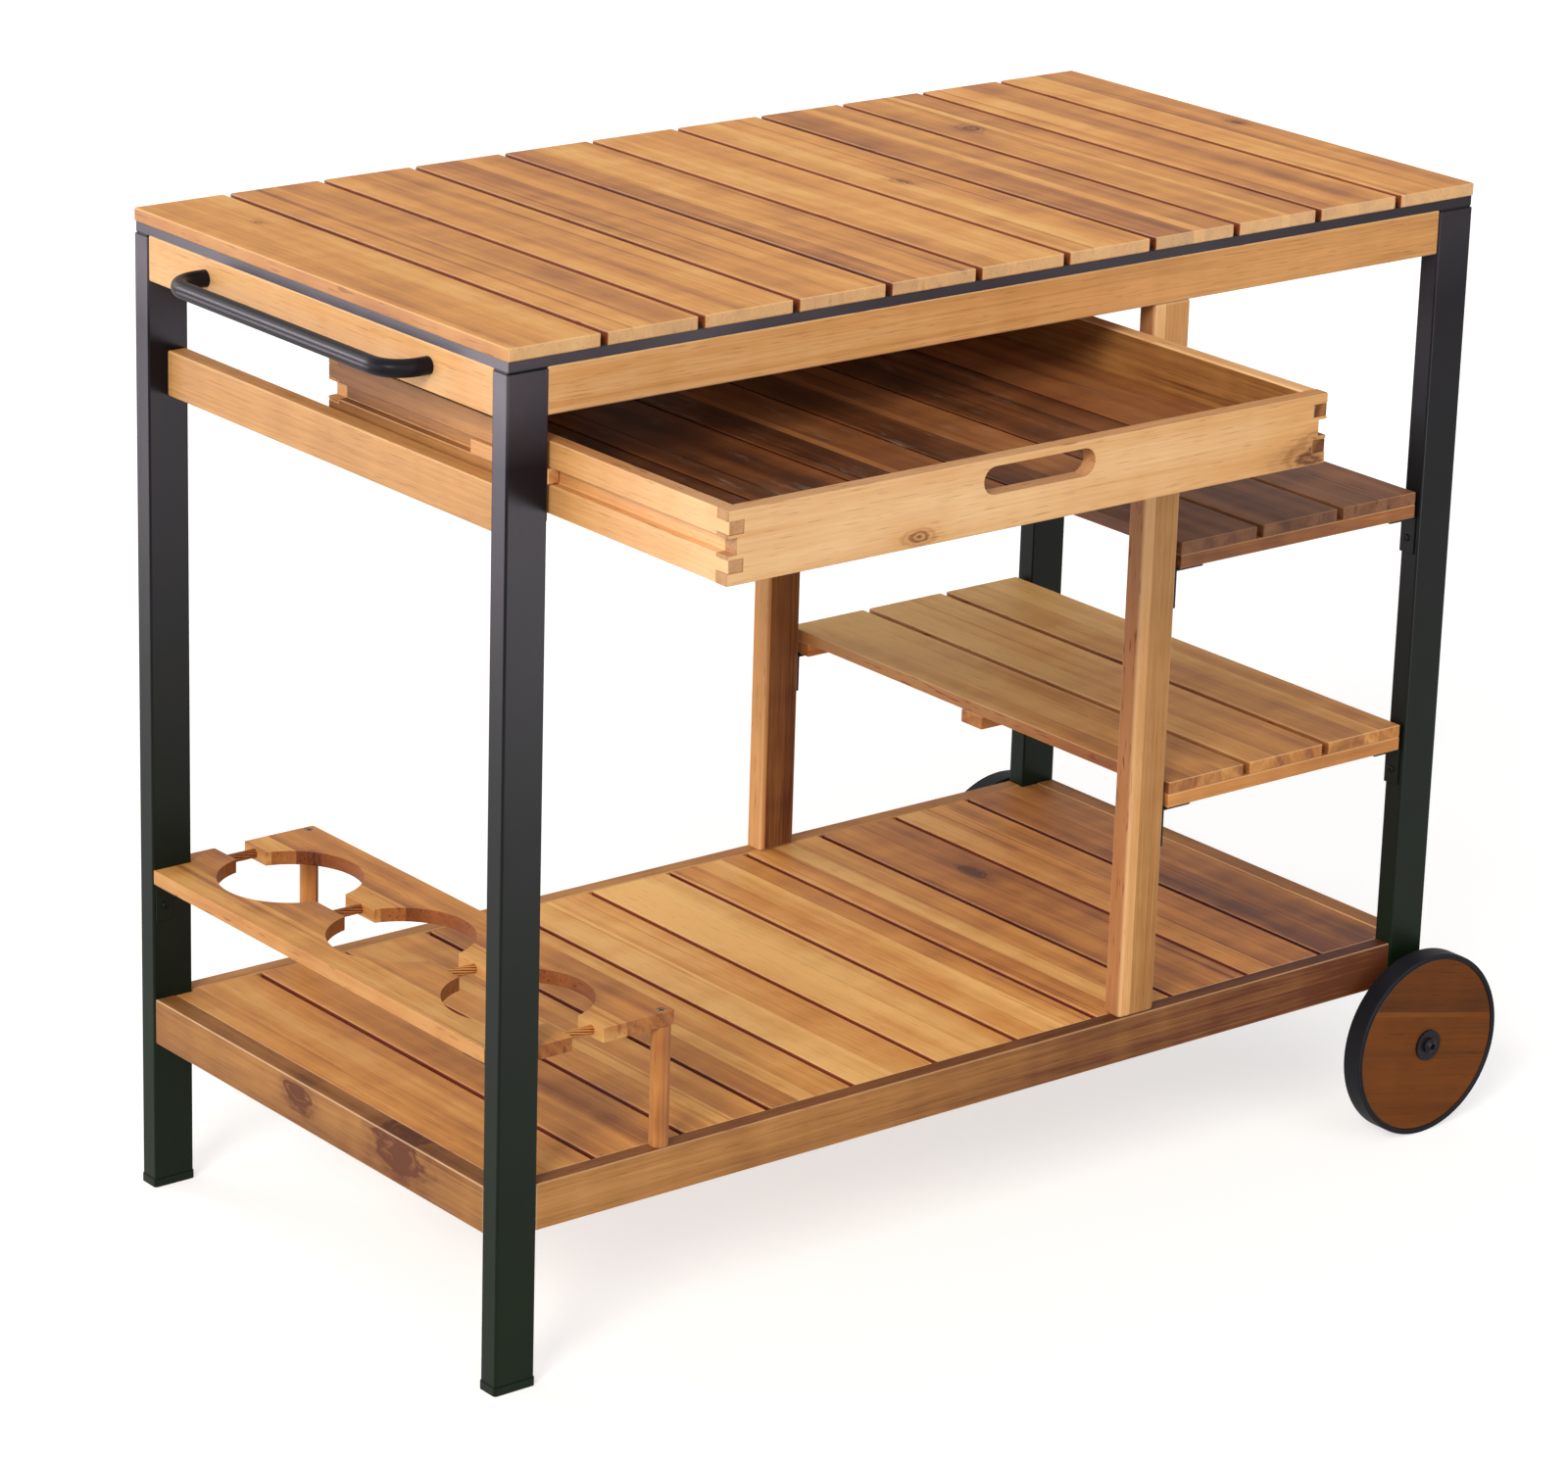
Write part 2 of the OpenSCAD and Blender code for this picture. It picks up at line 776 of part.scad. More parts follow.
module wheel_bush() {
    difference() {
        rod_y(wheel_x, [-disc_y - disc_t, -disc_y], wheel_r, bush_d / 2);
        rod_y(wheel_x, [-disc_y - disc_t - over, -disc_y + over], wheel_r,
            bolt_r + bolt_play);
    }
}

// Bolt with a domed head, flat round its socket
module axle_bolt() {
    head_y = -washer_y - washer_t;
    rod_y(wheel_x, [head_y, -in_y + nut_t + bolt_tail], wheel_r, bolt_r);
    translate([wheel_x, head_y, wheel_r]) rotate([90, 0, 0]) difference() {
        rotate_extrude() intersection() {
            square([bolt_head_d / 2, bolt_head_t]);
            translate([0, bolt_head_t + bolt_rim - bolt_dome_r]) circle(bolt_dome_r);
        }
        translate([0, 0, bolt_head_t - bolt_socket_depth])
            cylinder(h = bolt_socket_depth + over, d = bolt_socket_d, $fn = 6);
    }
}

module axle_washer() {
    difference() {
        rod_y(wheel_x, [-washer_y - washer_t, -washer_y], wheel_r, washer_d / 2);
        rod_y(wheel_x, [-washer_y - washer_t - over, -washer_y + over], wheel_r,
            bolt_r + fit_play);
    }
}

module axle_spacer() {
    y = [-disc_y + axial_play, -out_y];
    difference() {
        rod_y(wheel_x, y, wheel_r, spacer_d / 2);
        rod_y(wheel_x, [y[0] - over, y[1] + over], wheel_r, bolt_r + fit_play);
    }
}

module axle_nut() {
    difference() {
        translate([wheel_x, -in_y + nut_t, wheel_r]) rotate([90, 0, 0])
            cylinder(h = nut_t, d = nut_d, $fn = 6);
        rod_y(wheel_x, [-in_y - over, -in_y + nut_t + over], wheel_r, bolt_r + fit_play);
    }
}

module both_sides() {
    for (back = [false, true]) side_of(back) children();
}

// Named pieces

module leg_front_left() { color(steel_black) placed() leg(-1, -1); }
module leg_back_left() { color(steel_black) placed() leg(-1, 1); }
module leg_front_right() { color(steel_black) placed() leg(1, -1); }
module leg_back_right() { color(steel_black) placed() leg(1, 1); }
module leg_bottom_plugs() {
    color(plastic_black) placed()
        for (side = [-1, 1], end = [-1, 1]) at_leg(side, end) leg_bottom_plug(side);
}
module leg_top_caps() {
    color(plastic_black) placed()
        for (side = [-1, 1], end = [-1, 1]) at_leg(side, end) leg_top_cap();
}
module top_frame() { color(steel_black) placed() top_frame_bars(); }

module apron_front() { color(wood_frame) placed() apron_long(); }
module apron_back() { color(wood_frame) placed() mirror([0, 1, 0]) apron_long(); }
module apron_left() { color(wood_frame) placed() apron_short(); }
module apron_right() { color(wood_frame) placed() mirror([1, 0, 0]) apron_short(); }

module top_slat(i) { color(wood_top) placed() worktop_slat(i); }

module shelf_rail_front() { color(wood_frame) placed() shelf_rail_long(); }
module shelf_rail_back() { color(wood_frame) placed() mirror([0, 1, 0]) shelf_rail_long(); }
module shelf_rail_left() { color(wood_frame) placed() shelf_rail_short(); }
module shelf_rail_right() { color(wood_frame) placed() mirror([1, 0, 0]) shelf_rail_short(); }
module bottom_shelf_slats() { color(wood_top) placed() bottom_slats(); }
module bottom_shelf_bearers() { color(wood_frame) placed() bottom_bearers(); }
module post_front() { color(wood_frame) placed() post(); }
module post_back() { color(wood_frame) placed() mirror([0, 1, 0]) post(); }

module tray_rail_left() {
    color(wood_frame) placed() rail_beside_tray(left_rail_in - tray_rail_t);
}
module tray_rail_right() { color(wood_frame) placed() rail_beside_tray(post_x0); }
module tray_ledges() { color(wood_frame) placed() ledges(); }
module tray_guides() { color(wood_frame) placed() guides(); }
module tray_panel_front() { color(wood_frame) placed() at_tray() tray_front(); }
module tray_panel_back() {
    color(wood_frame) placed() at_tray() translate([0, tray_d, 0]) mirror([0, 1, 0]) tray_front();
}
module tray_panel_left() { color(wood_frame) placed() at_tray() tray_side(); }
module tray_panel_right() {
    color(wood_frame) placed() at_tray() translate([tray_l, 0, 0]) mirror([1, 0, 0]) tray_side();
}
module tray_floor_slats() { color(wood_floor) placed() at_tray() tray_floor(); }
module tray_floor_battens() { color(wood_floor) placed() at_tray() tray_battens(); }

module upper_shelf_slats() { color(wood_shelf) placed() side_shelf_slats(upper_shelf_z); }
module middle_shelf_slats() { color(wood_top) placed() side_shelf_slats(middle_shelf_z); }
module side_shelf_battens() {
    color(wood_shelf) placed()
        for (top_z = [upper_shelf_z, middle_shelf_z]) shelf_battens(top_z);
}
module angle_brackets() { color(steel_black) placed() all_brackets(); }

module holder_board_left() { color(wood_frame) placed() left_board(); }
module holder_board_right() { color(wood_frame) placed() right_board(); }
module holder_bridge_dowels() { color(wood_frame) placed() bridge_rods(bridge_r, bridge_seat); }
module holder_support_dowels() { color(wood_frame) placed() support_dowels(); }
module holder_screws() { color("silver") placed() at_supports() holder_screw(0); }
module push_handle() { color(steel_black) placed() handle_bar(); }

module wheel_front_disc() { color(wood_shelf) placed() wheel_disc(); }
module wheel_front_tyre() { color(rubber_black) placed() wheel_tyre(); }
module wheel_front_bush() { color(plastic_black) placed() wheel_bush(); }
module wheel_back_disc() { color(wood_shelf) placed() side_of(true) wheel_disc(); }
module wheel_back_tyre() { color(rubber_black) placed() side_of(true) wheel_tyre(); }
module wheel_back_bush() { color(plastic_black) placed() side_of(true) wheel_bush(); }
module axle_bolts() { color(steel_black) placed() both_sides() axle_bolt(); }
module axle_washers() { color(steel_black) placed() both_sides() axle_washer(); }
module axle_spacers() { color(plastic_black) placed() both_sides() axle_spacer(); }
module axle_nuts() { color("silver") placed() both_sides() axle_nut(); }

leg_front_left();
leg_back_left();
leg_front_right();
leg_back_right();
leg_bottom_plugs();
leg_top_caps();
top_frame();
apron_front();
apron_back();
apron_left();
apron_right();
top_slat(0);  // worktop_slat_01
top_slat(1);  // worktop_slat_02
top_slat(2);  // worktop_slat_03
top_slat(3);  // worktop_slat_04
top_slat(4);  // worktop_slat_05
top_slat(5);  // worktop_slat_06
top_slat(6);  // worktop_slat_07
top_slat(7);  // worktop_slat_08
top_slat(8);  // worktop_slat_09
top_slat(9);  // worktop_slat_10
top_slat(10);  // worktop_slat_11
shelf_rail_front();
shelf_rail_back();
shelf_rail_left();
shelf_rail_right();
bottom_shelf_slats();
bottom_shelf_bearers();
post_front();
post_back();
tray_rail_left();
tray_rail_right();
tray_ledges();
tray_guides();
tray_panel_front();
tray_panel_back();
tray_panel_left();
tray_panel_right();
tray_floor_slats();
tray_floor_battens();
upper_shelf_slats();
middle_shelf_slats();
side_shelf_battens();
angle_brackets();
holder_board_left();
holder_board_right();
holder_bridge_dowels();
holder_support_dowels();
holder_screws();
push_handle();
wheel_front_disc();
wheel_front_tyre();
wheel_front_bush();
wheel_back_disc();
wheel_back_tyre();
wheel_back_bush();
axle_bolts();
axle_washers();
axle_spacers();
axle_nuts();
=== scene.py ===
"""Dresses the bar cart: oiled acacia boards, powder-coated steel, rubber tyres and small hardware."""

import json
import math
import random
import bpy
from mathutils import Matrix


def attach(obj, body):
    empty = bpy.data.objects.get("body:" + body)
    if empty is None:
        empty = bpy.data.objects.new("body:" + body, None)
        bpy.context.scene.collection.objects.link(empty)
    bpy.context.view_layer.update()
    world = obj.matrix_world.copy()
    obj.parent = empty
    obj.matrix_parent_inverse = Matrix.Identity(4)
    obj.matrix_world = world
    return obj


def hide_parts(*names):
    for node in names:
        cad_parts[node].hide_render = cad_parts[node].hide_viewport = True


bl_info = {
    "name": "Bar cart looks",
    "version": (1, 0, 0),
    "blender": (4, 5, 0),
    "location": "View3D > Sidebar > Bar cart",
    "description": "Softens and grains the cart's boards, finishes its steel, and sets up the studio",
    "category": "Object",
}

import bmesh
import bpy
from bpy.props import FloatProperty, FloatVectorProperty, PointerProperty
from bpy.types import NodeSocket, Operator, Panel, PropertyGroup
from mathutils import Matrix, Vector

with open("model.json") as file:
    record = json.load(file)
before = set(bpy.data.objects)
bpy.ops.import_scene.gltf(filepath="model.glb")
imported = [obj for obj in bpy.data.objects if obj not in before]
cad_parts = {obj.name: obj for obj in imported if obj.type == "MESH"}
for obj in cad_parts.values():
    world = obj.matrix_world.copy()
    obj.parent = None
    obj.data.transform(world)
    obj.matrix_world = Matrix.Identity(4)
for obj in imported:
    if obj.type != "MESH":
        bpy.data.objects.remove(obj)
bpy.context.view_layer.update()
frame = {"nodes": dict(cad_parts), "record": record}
MM = 0.001

# Points closer than SAME_POINT are one point, and faces that lean less than SAME_FLAT are one face
SAME_POINT = 0.005 * MM
SAME_FLAT = math.radians(0.3)
# Edges sharper than SHARP_EDGE are rounded, and shading runs on over edges flatter than the others
SHARP_EDGE = math.radians(50)
SMOOTH_ANGLE = math.radians(40)
SCREW_SMOOTH_ANGLE = math.radians(35)
BEVEL_STEPS = 3
# A hole's wall lies at least this far inside its board's outline
HOLE_MARGIN = 3 * MM


def linear(hex_code):
    """The linear colour of an sRGB hex value."""
    parts = [int(hex_code[i : i + 2], 16) / 255 for i in (1, 3, 5)]
    return tuple(c / 12.92 if c <= 0.04045 else ((c + 0.055) / 1.055) ** 2.4 for c in parts)


def colour(name, description, hex_code):
    """A colour that a user can change."""
    return FloatVectorProperty(
        name=name, description=description, subtype="COLOR", size=3, min=0, max=1, default=linear(hex_code)
    )


# What a user would change


class CartWood(PropertyGroup):
    board_edge: FloatProperty(
        name="Board edge",
        description="Softening of the boards' cut ends and holes",
        default=1.1 * MM,
        unit="LENGTH",
    )
    pale: colour("Pale wood", "Sapwood and the palest strips", "#ECBD74")
    honey: colour("Honey wood", "The common tone of the boards", "#D0924B")
    brown: colour("Brown wood", "Heartwood strips", "#A26736")
    umber: colour("Umber streaks", "The darkest streaks and the knots", "#5E321A")
    # Painted highlight on the rounded edges, partly worn wood, and the tone of pale cut ends
    bare_and_highlight: colour("Bare wood", "Rubbed edges and pale cut ends", "#EFCB9A")
    tan: colour("Tan wood", "The common tone of the aprons, rails and tray panels", "#D6A064")
    tray_honey: colour("Tray floor", "The common tone of the tray's floor", "#7A4826")
    tray_brown: colour("Tray floor, dark", "The dark streaks of the tray's floor", "#45240F")
    wheel: colour("Wheels", "The stained wood of the wheels", "#6F3D14")
    shelf_honey: colour("Upper shelf", "The common tone of the upper side shelf", "#8A5C3C")
    shelf_brown: colour("Upper shelf, dark", "The dark streaks of the upper side shelf", "#5B3826")


class CartMetal(PropertyGroup):
    coat: colour("Powder coat", "Black coat of the legs, frame and handle", "#151218")
    # Painted shade: the coat grows darker and greener near the floor. Painted sheen: it grows paler at the
    # top left corner.
    coat_low_painted_shade: colour("Powder coat, low", "The coat's tone near the floor", "#0A1808")
    coat_top_painted_sheen: colour("Powder coat, top", "The coat's tone at the top left corner", "#464147")
    plastic: colour("Plastic", "Black feet, caps and bushes", "#0D0E0E")
    rubber: colour("Rubber", "Tyres", "#121217")
    zinc: colour("Zinc", "Nuts of the axles", "#B9BABC")
    screw: colour("Screws", "Screws of the bottle holder", "#9A8068")


class CartStudio(PropertyGroup):
    floor_colour: colour("Floor", "Pale floor and backdrop", "#C9C8C6")
    floor_glow: FloatProperty(
        name="Floor glow", description="How far the floor is whitened in the picture", default=0.6
    )
    key_light: FloatProperty(name="Key light", description="Soft light from the left, W/m2", default=2.0)
    front_light: FloatProperty(name="Front light", description="Wide light from the front, W/m2", default=1.0)
    fill_light: FloatProperty(name="Fill light", description="Low light from the back, W/m2", default=1.25)
    side_light: FloatProperty(name="Side light", description="Low light from the left, W/m2", default=1.3)
    softbox_power: FloatProperty(name="Softbox", description="Sheen on the steel", default=30, unit="POWER")
    sky_strength: FloatProperty(name="Sky", description="Strength of the light all round", default=0.33)
    camera_turn: FloatProperty(
        name="Camera turn",
        description="Angle round the cart",
        default=math.radians(-38.92),
        subtype="ANGLE",
    )
    camera_height: FloatProperty(
        name="Camera height",
        description="Angle above the floor",
        default=math.radians(18.95),
        subtype="ANGLE",
    )
    camera_roll: FloatProperty(
        name="Camera roll",
        description="Tilt of the picture",
        default=math.radians(1.73),
        subtype="ANGLE",
    )
    camera_distance: FloatProperty(
        name="Camera distance", description="From the point looked at", default=4707.7 * MM, unit="LENGTH"
    )
    lens: FloatProperty(name="Lens", description="Focal length, mm", default=127.6)


def settings(group):
    """One of the scene's groups of sizes and colours."""
    return getattr(bpy.context.scene, group)


# Small helpers for objects


def only(piece):
    """Selects one object and nothing else."""
    if bpy.context.mode != "OBJECT":
        bpy.ops.object.mode_set(mode="OBJECT")
    bpy.ops.object.select_all(action="DESELECT")
    piece.hide_set(False)
    piece.select_set(True)
    bpy.context.view_layer.objects.active = piece


def apply_modifier(piece, kind, **values):
    """Adds a modifier with its settings and applies it."""
    only(piece)
    bpy.ops.object.modifier_add(type=kind)
    modifier = piece.modifiers[-1]
    for name, value in values.items():
        setattr(modifier, name, value)
    bpy.ops.object.modifier_apply(modifier=modifier.name)


def merged_copy(node, name):
    """A copy of a node's mesh with its loose triangles joined, to soften and to dress."""
    piece = bpy.data.objects.new(name, frame["nodes"][node].data.copy())
    bpy.context.scene.collection.objects.link(piece)
    piece.data.materials.clear()
    only(piece)
    bpy.ops.mesh.customdata_custom_splitnormals_clear()
    bpy.ops.object.mode_set(mode="EDIT")
    bpy.ops.mesh.select_all(action="SELECT")
    bpy.ops.mesh.remove_doubles(threshold=SAME_POINT)
    bpy.ops.mesh.dissolve_limited(angle_limit=SAME_FLAT)
    bpy.ops.object.mode_set(mode="OBJECT")
    return piece


def soften(piece, width):
    """Rounds every sharp edge a little and evens the shading of the flat faces.

    width is the most that an edge gets. Where the mesh has short edges, the bevel stays narrower so
    that it doesn't overlap: about 1.4 mm on the worktop's and shelves' slats, 0.8 and 0.15 mm on the
    tray's back and front panels, 0.2 and 0.03 mm on the bottle holder's left and right boards, and
    0.1 mm on the tyres.
    """
    apply_modifier(
        piece, "BEVEL", width=width, segments=BEVEL_STEPS, limit_method="ANGLE", angle_limit=SHARP_EDGE,
        use_clamp_overlap=True,
    )
    bpy.ops.object.shade_smooth_by_angle(angle=SMOOTH_ANGLE)
    apply_modifier(piece, "WEIGHTED_NORMAL", keep_sharp=True)


def finish_piece(piece, node, body, material):
    """Gives a piece its material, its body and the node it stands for."""
    piece.data.materials.clear()
    piece.data.materials.append(material)
    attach(piece, body)
    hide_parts(node)
    return piece


def body_of(node):
    """The moving body that a node belongs to."""
    for body, nodes in frame["record"]["behaviour"]["bodies"].items():
        if node in nodes:
            return body
    raise ValueError(node)


def islands(mesh):
    """The mesh's separate solids, as lists of vertex numbers, from left to right."""
    data = bmesh.new()
    data.from_mesh(mesh)
    seen = set()
    groups = []
    for start in data.verts:
        if start in seen:
            continue
        seen.add(start)
        group = [start]
        for vert in group:
            for edge in vert.link_edges:
                other = edge.other_vert(vert)
                if other not in seen:
                    seen.add(other)
                    group.append(other)
        groups.append([v.index for v in group])
    data.free()

    def place(group):
        middle = sum((mesh.vertices[i].co for i in group), Vector()) / len(group)
        return round(middle.x, 3), round(middle.y, 3), round(middle.z, 3)

    return sorted(groups, key=place)


def corners(points):
    """The lowest and the highest corner of the box round some points."""
    low = Vector([min(point[k] for point in points) for k in range(3)])
    high = Vector([max(point[k] for point in points) for k in range(3)])
    return low, high


def solids_of(piece):
    """The corners of each separate solid of a piece."""
    vertices = piece.data.vertices
    return [corners([vertices[i].co for i in group]) for group in islands(piece.data)]


def place_at(piece, place, turn=(0, 0, 0)):
    """Puts a piece where it belongs and moves that place into its mesh."""
    piece.location = place
    piece.rotation_euler = turn
    only(piece)
    bpy.ops.object.transform_apply(location=True, rotation=True, scale=True)


def copy_of(piece):
    """A copy of a piece with its own mesh."""
    copy = piece.copy()
    copy.data = piece.data.copy()
    bpy.context.scene.collection.objects.link(copy)
    return copy


def join(pieces, name):
    """Makes several objects one named piece."""
    bpy.ops.object.select_all(action="DESELECT")
    for piece in pieces:
        piece.select_set(True)
    bpy.context.view_layer.objects.active = pieces[0]
    bpy.ops.object.join()
    pieces[0].name = name
    return pieces[0]


def dress_node(node, finish):
    """Gives a CAD node its material and leaves its mesh alone."""
    mesh = frame["nodes"][node].data
    mesh.materials.clear()
    mesh.materials.append(MATERIALS[finish])


# Boards: where their grain runs and how their strips are glued


def board(*strips, **more):
    """A board: its strips from left to right, each a share of the width and a tone, and its knots.

    lean is how much paler it grows towards its back, right or upper end.
    """
    return {"strips": strips, **more}


def grain_boards(piece, boards, axes=None):
    """Writes each board's grain, strips and knots on its points, for the wood material to read.

    grain is the place along, across and through the board. axes names them, where the board's
    own proportions don't say. faces tells cut ends, sides, holes and rounded edges from broad faces.
    """
    mesh = piece.data
    count = len(mesh.vertices)
    fields = {name: [0.0] * (3 * count) for name in ("grain", "board", "tones", "knot", "knot_2")}
    owner = [None] * count
    for number, group in enumerate(islands(mesh)):
        spec = boards[number % len(boards)]
        low, high = corners([mesh.vertices[i].co for i in group])
        middle = (low + high) / 2
        size = high - low
        order = axes or sorted(range(3), key=lambda k: -size[k])
        strips = list(spec["strips"])
        shares = [share for share, _ in strips]
        seed = random.Random(f"{piece.name} {number}").uniform(0, 50)
        edges = [(sum(shares[: n + 1]) - 0.5) * size[order[1]] for n in range(2)]
        tones = [tone for _, tone in strips]
        tones += [tones[-1]] * (3 - len(tones))
        knots = [[value * MM for value in knot] for knot in spec.get("knots", ())]
        knots += [[0, 0, 0]] * (2 - len(knots))
        turn = Matrix.Rotation(-math.radians(spec.get("turn", 0)), 3, "Z")
        for i in group:
            owner[i] = (order, middle, size / 2, spec)
            place = mesh.vertices[i].co - middle
            grain = turn @ Vector([place[k] for k in order])
            lean = spec.get("lean", 0) * grain.x / (size[order[0]] / 2)
            values = (grain, [seed, *edges], [tone + lean for tone in tones], *knots)
            for field, value in zip(fields.values(), values):
                field[3 * i : 3 * i + 3] = value
    for name, field in fields.items():
        attribute = mesh.attributes.new(name, "FLOAT_VECTOR", "POINT")
        attribute.data.foreach_set("vector", field)
    values = []
    for face in mesh.polygons:
        values += face_finish(face, *owner[face.vertices[0]])
    attribute = mesh.attributes.new("faces", "FLOAT_VECTOR", "FACE")
    attribute.data.foreach_set("vector", values)


def face_finish(face, order, middle, half, spec):
    """How much of a face is cut end, how dark its side is, and how pale its edge is.

    A side is darker partly by its own grain and partly by painted shade where it faces a gap. A rounded edge
    is paled, partly as worn wood and partly as a painted highlight, most where it leans
    45 degrees, which is where the largest part of its normal is 0.71.
    """
    along, across, through = order
    normal = face.normal
    off = face.center - middle
    if "flutes" in spec:
        depth = 1 - math.hypot(off[across], off[through]) / half[through]
        return 0.0, min(1, spec["flutes"] * depth), 0.0
    inside = all(abs(off[k]) < half[k] - HOLE_MARGIN for k in (along, across))
    if inside and abs(normal[through]) < 0.7:
        return 0.0, spec.get("holes", 0), 0.0
    end = max(0, 2 * abs(normal[along]) - 1)
    side = max(0, 1.6 * abs(normal[across]) - 0.6) * spec["sides"][normal[across] > 0]
    pale_edge_and_highlight = 0.0
    if abs(normal[through]) > 0.2:
        pale_edge_and_highlight = min(1, (1 - max(abs(part) for part in normal)) / 0.29) * spec.get("rub", 1.0)
    return end * spec.get("ends", 0.3), side, max(pale_edge_and_highlight, end * spec.get("pale_ends", 0))


def wooden(node, name, material, boards, axes=None, edge=None, sides=(0, 0)):
    """A softened wooden piece in place of a node.

    sides is how dark its boards' left and right sides are: partly their own darker grain, and painted shade
    where they face a gap or stand in shade.
    """
    piece = merged_copy(node, name)
    soften(piece, edge or settings("cart_wood").board_edge)
    grain_boards(piece, [{"sides": sides, **spec} for spec in boards], axes)
    return finish_piece(piece, node, body_of(node), material)


# Materials


def add(tree, kind, inputs=(), **values):
    """Adds a node with its settings, sets or links its inputs, and gives its outputs.

    The inputs come in their order, or as a table by name or number.
    """
    node = tree.nodes.new("ShaderNode" + kind)
    for name, value in values.items():
        setattr(node, name, value)
    for key, value in inputs.items() if isinstance(inputs, dict) else enumerate(inputs):
        if isinstance(value, NodeSocket):
            tree.links.new(value, node.inputs[key])
        else:
            node.inputs[key].default_value = value
    return node.outputs


def new_material(name):
    """A material with no nodes yet."""
    material = bpy.data.materials.new(name)
    material.use_nodes = True
    material.node_tree.nodes.clear()
    return material


def set_surface(material, inputs):
    """Ends a material with its shader and output."""
    surface = add(material.node_tree, "BsdfPrincipled", inputs)["BSDF"]
    add(material.node_tree, "OutputMaterial", {"Surface": surface})
    return material


def rgba(value):
    """A colour with its full opacity."""
    return (*value, 1)


# The wood's figure, coarse to fine: each layer's length and width in mm, shift, strength and detail
ACACIA_LAYERS = (
    (900, 24, 3.0, 0.54, 1.0),
    (60, 30, 4.0, 0.2, 1.0),
    (330, 60, 5.0, 0.4, 1.0),
    (32, 90, 11.0, 0.28, 1.0),
    (230, 4.5, 6.0, 0.22, 1.5),
)
RING_MM = 11
KNOT_SQUEEZE = 0.55
LEAST_KNOT = 0.0001
# Tint of darker cut ends and pores, and of painted shade on sides that face a gap
END_PORE_AND_GAP_SHADE_TINT = "#8E5236"
SCUFF_TINT = "#A08C7A"


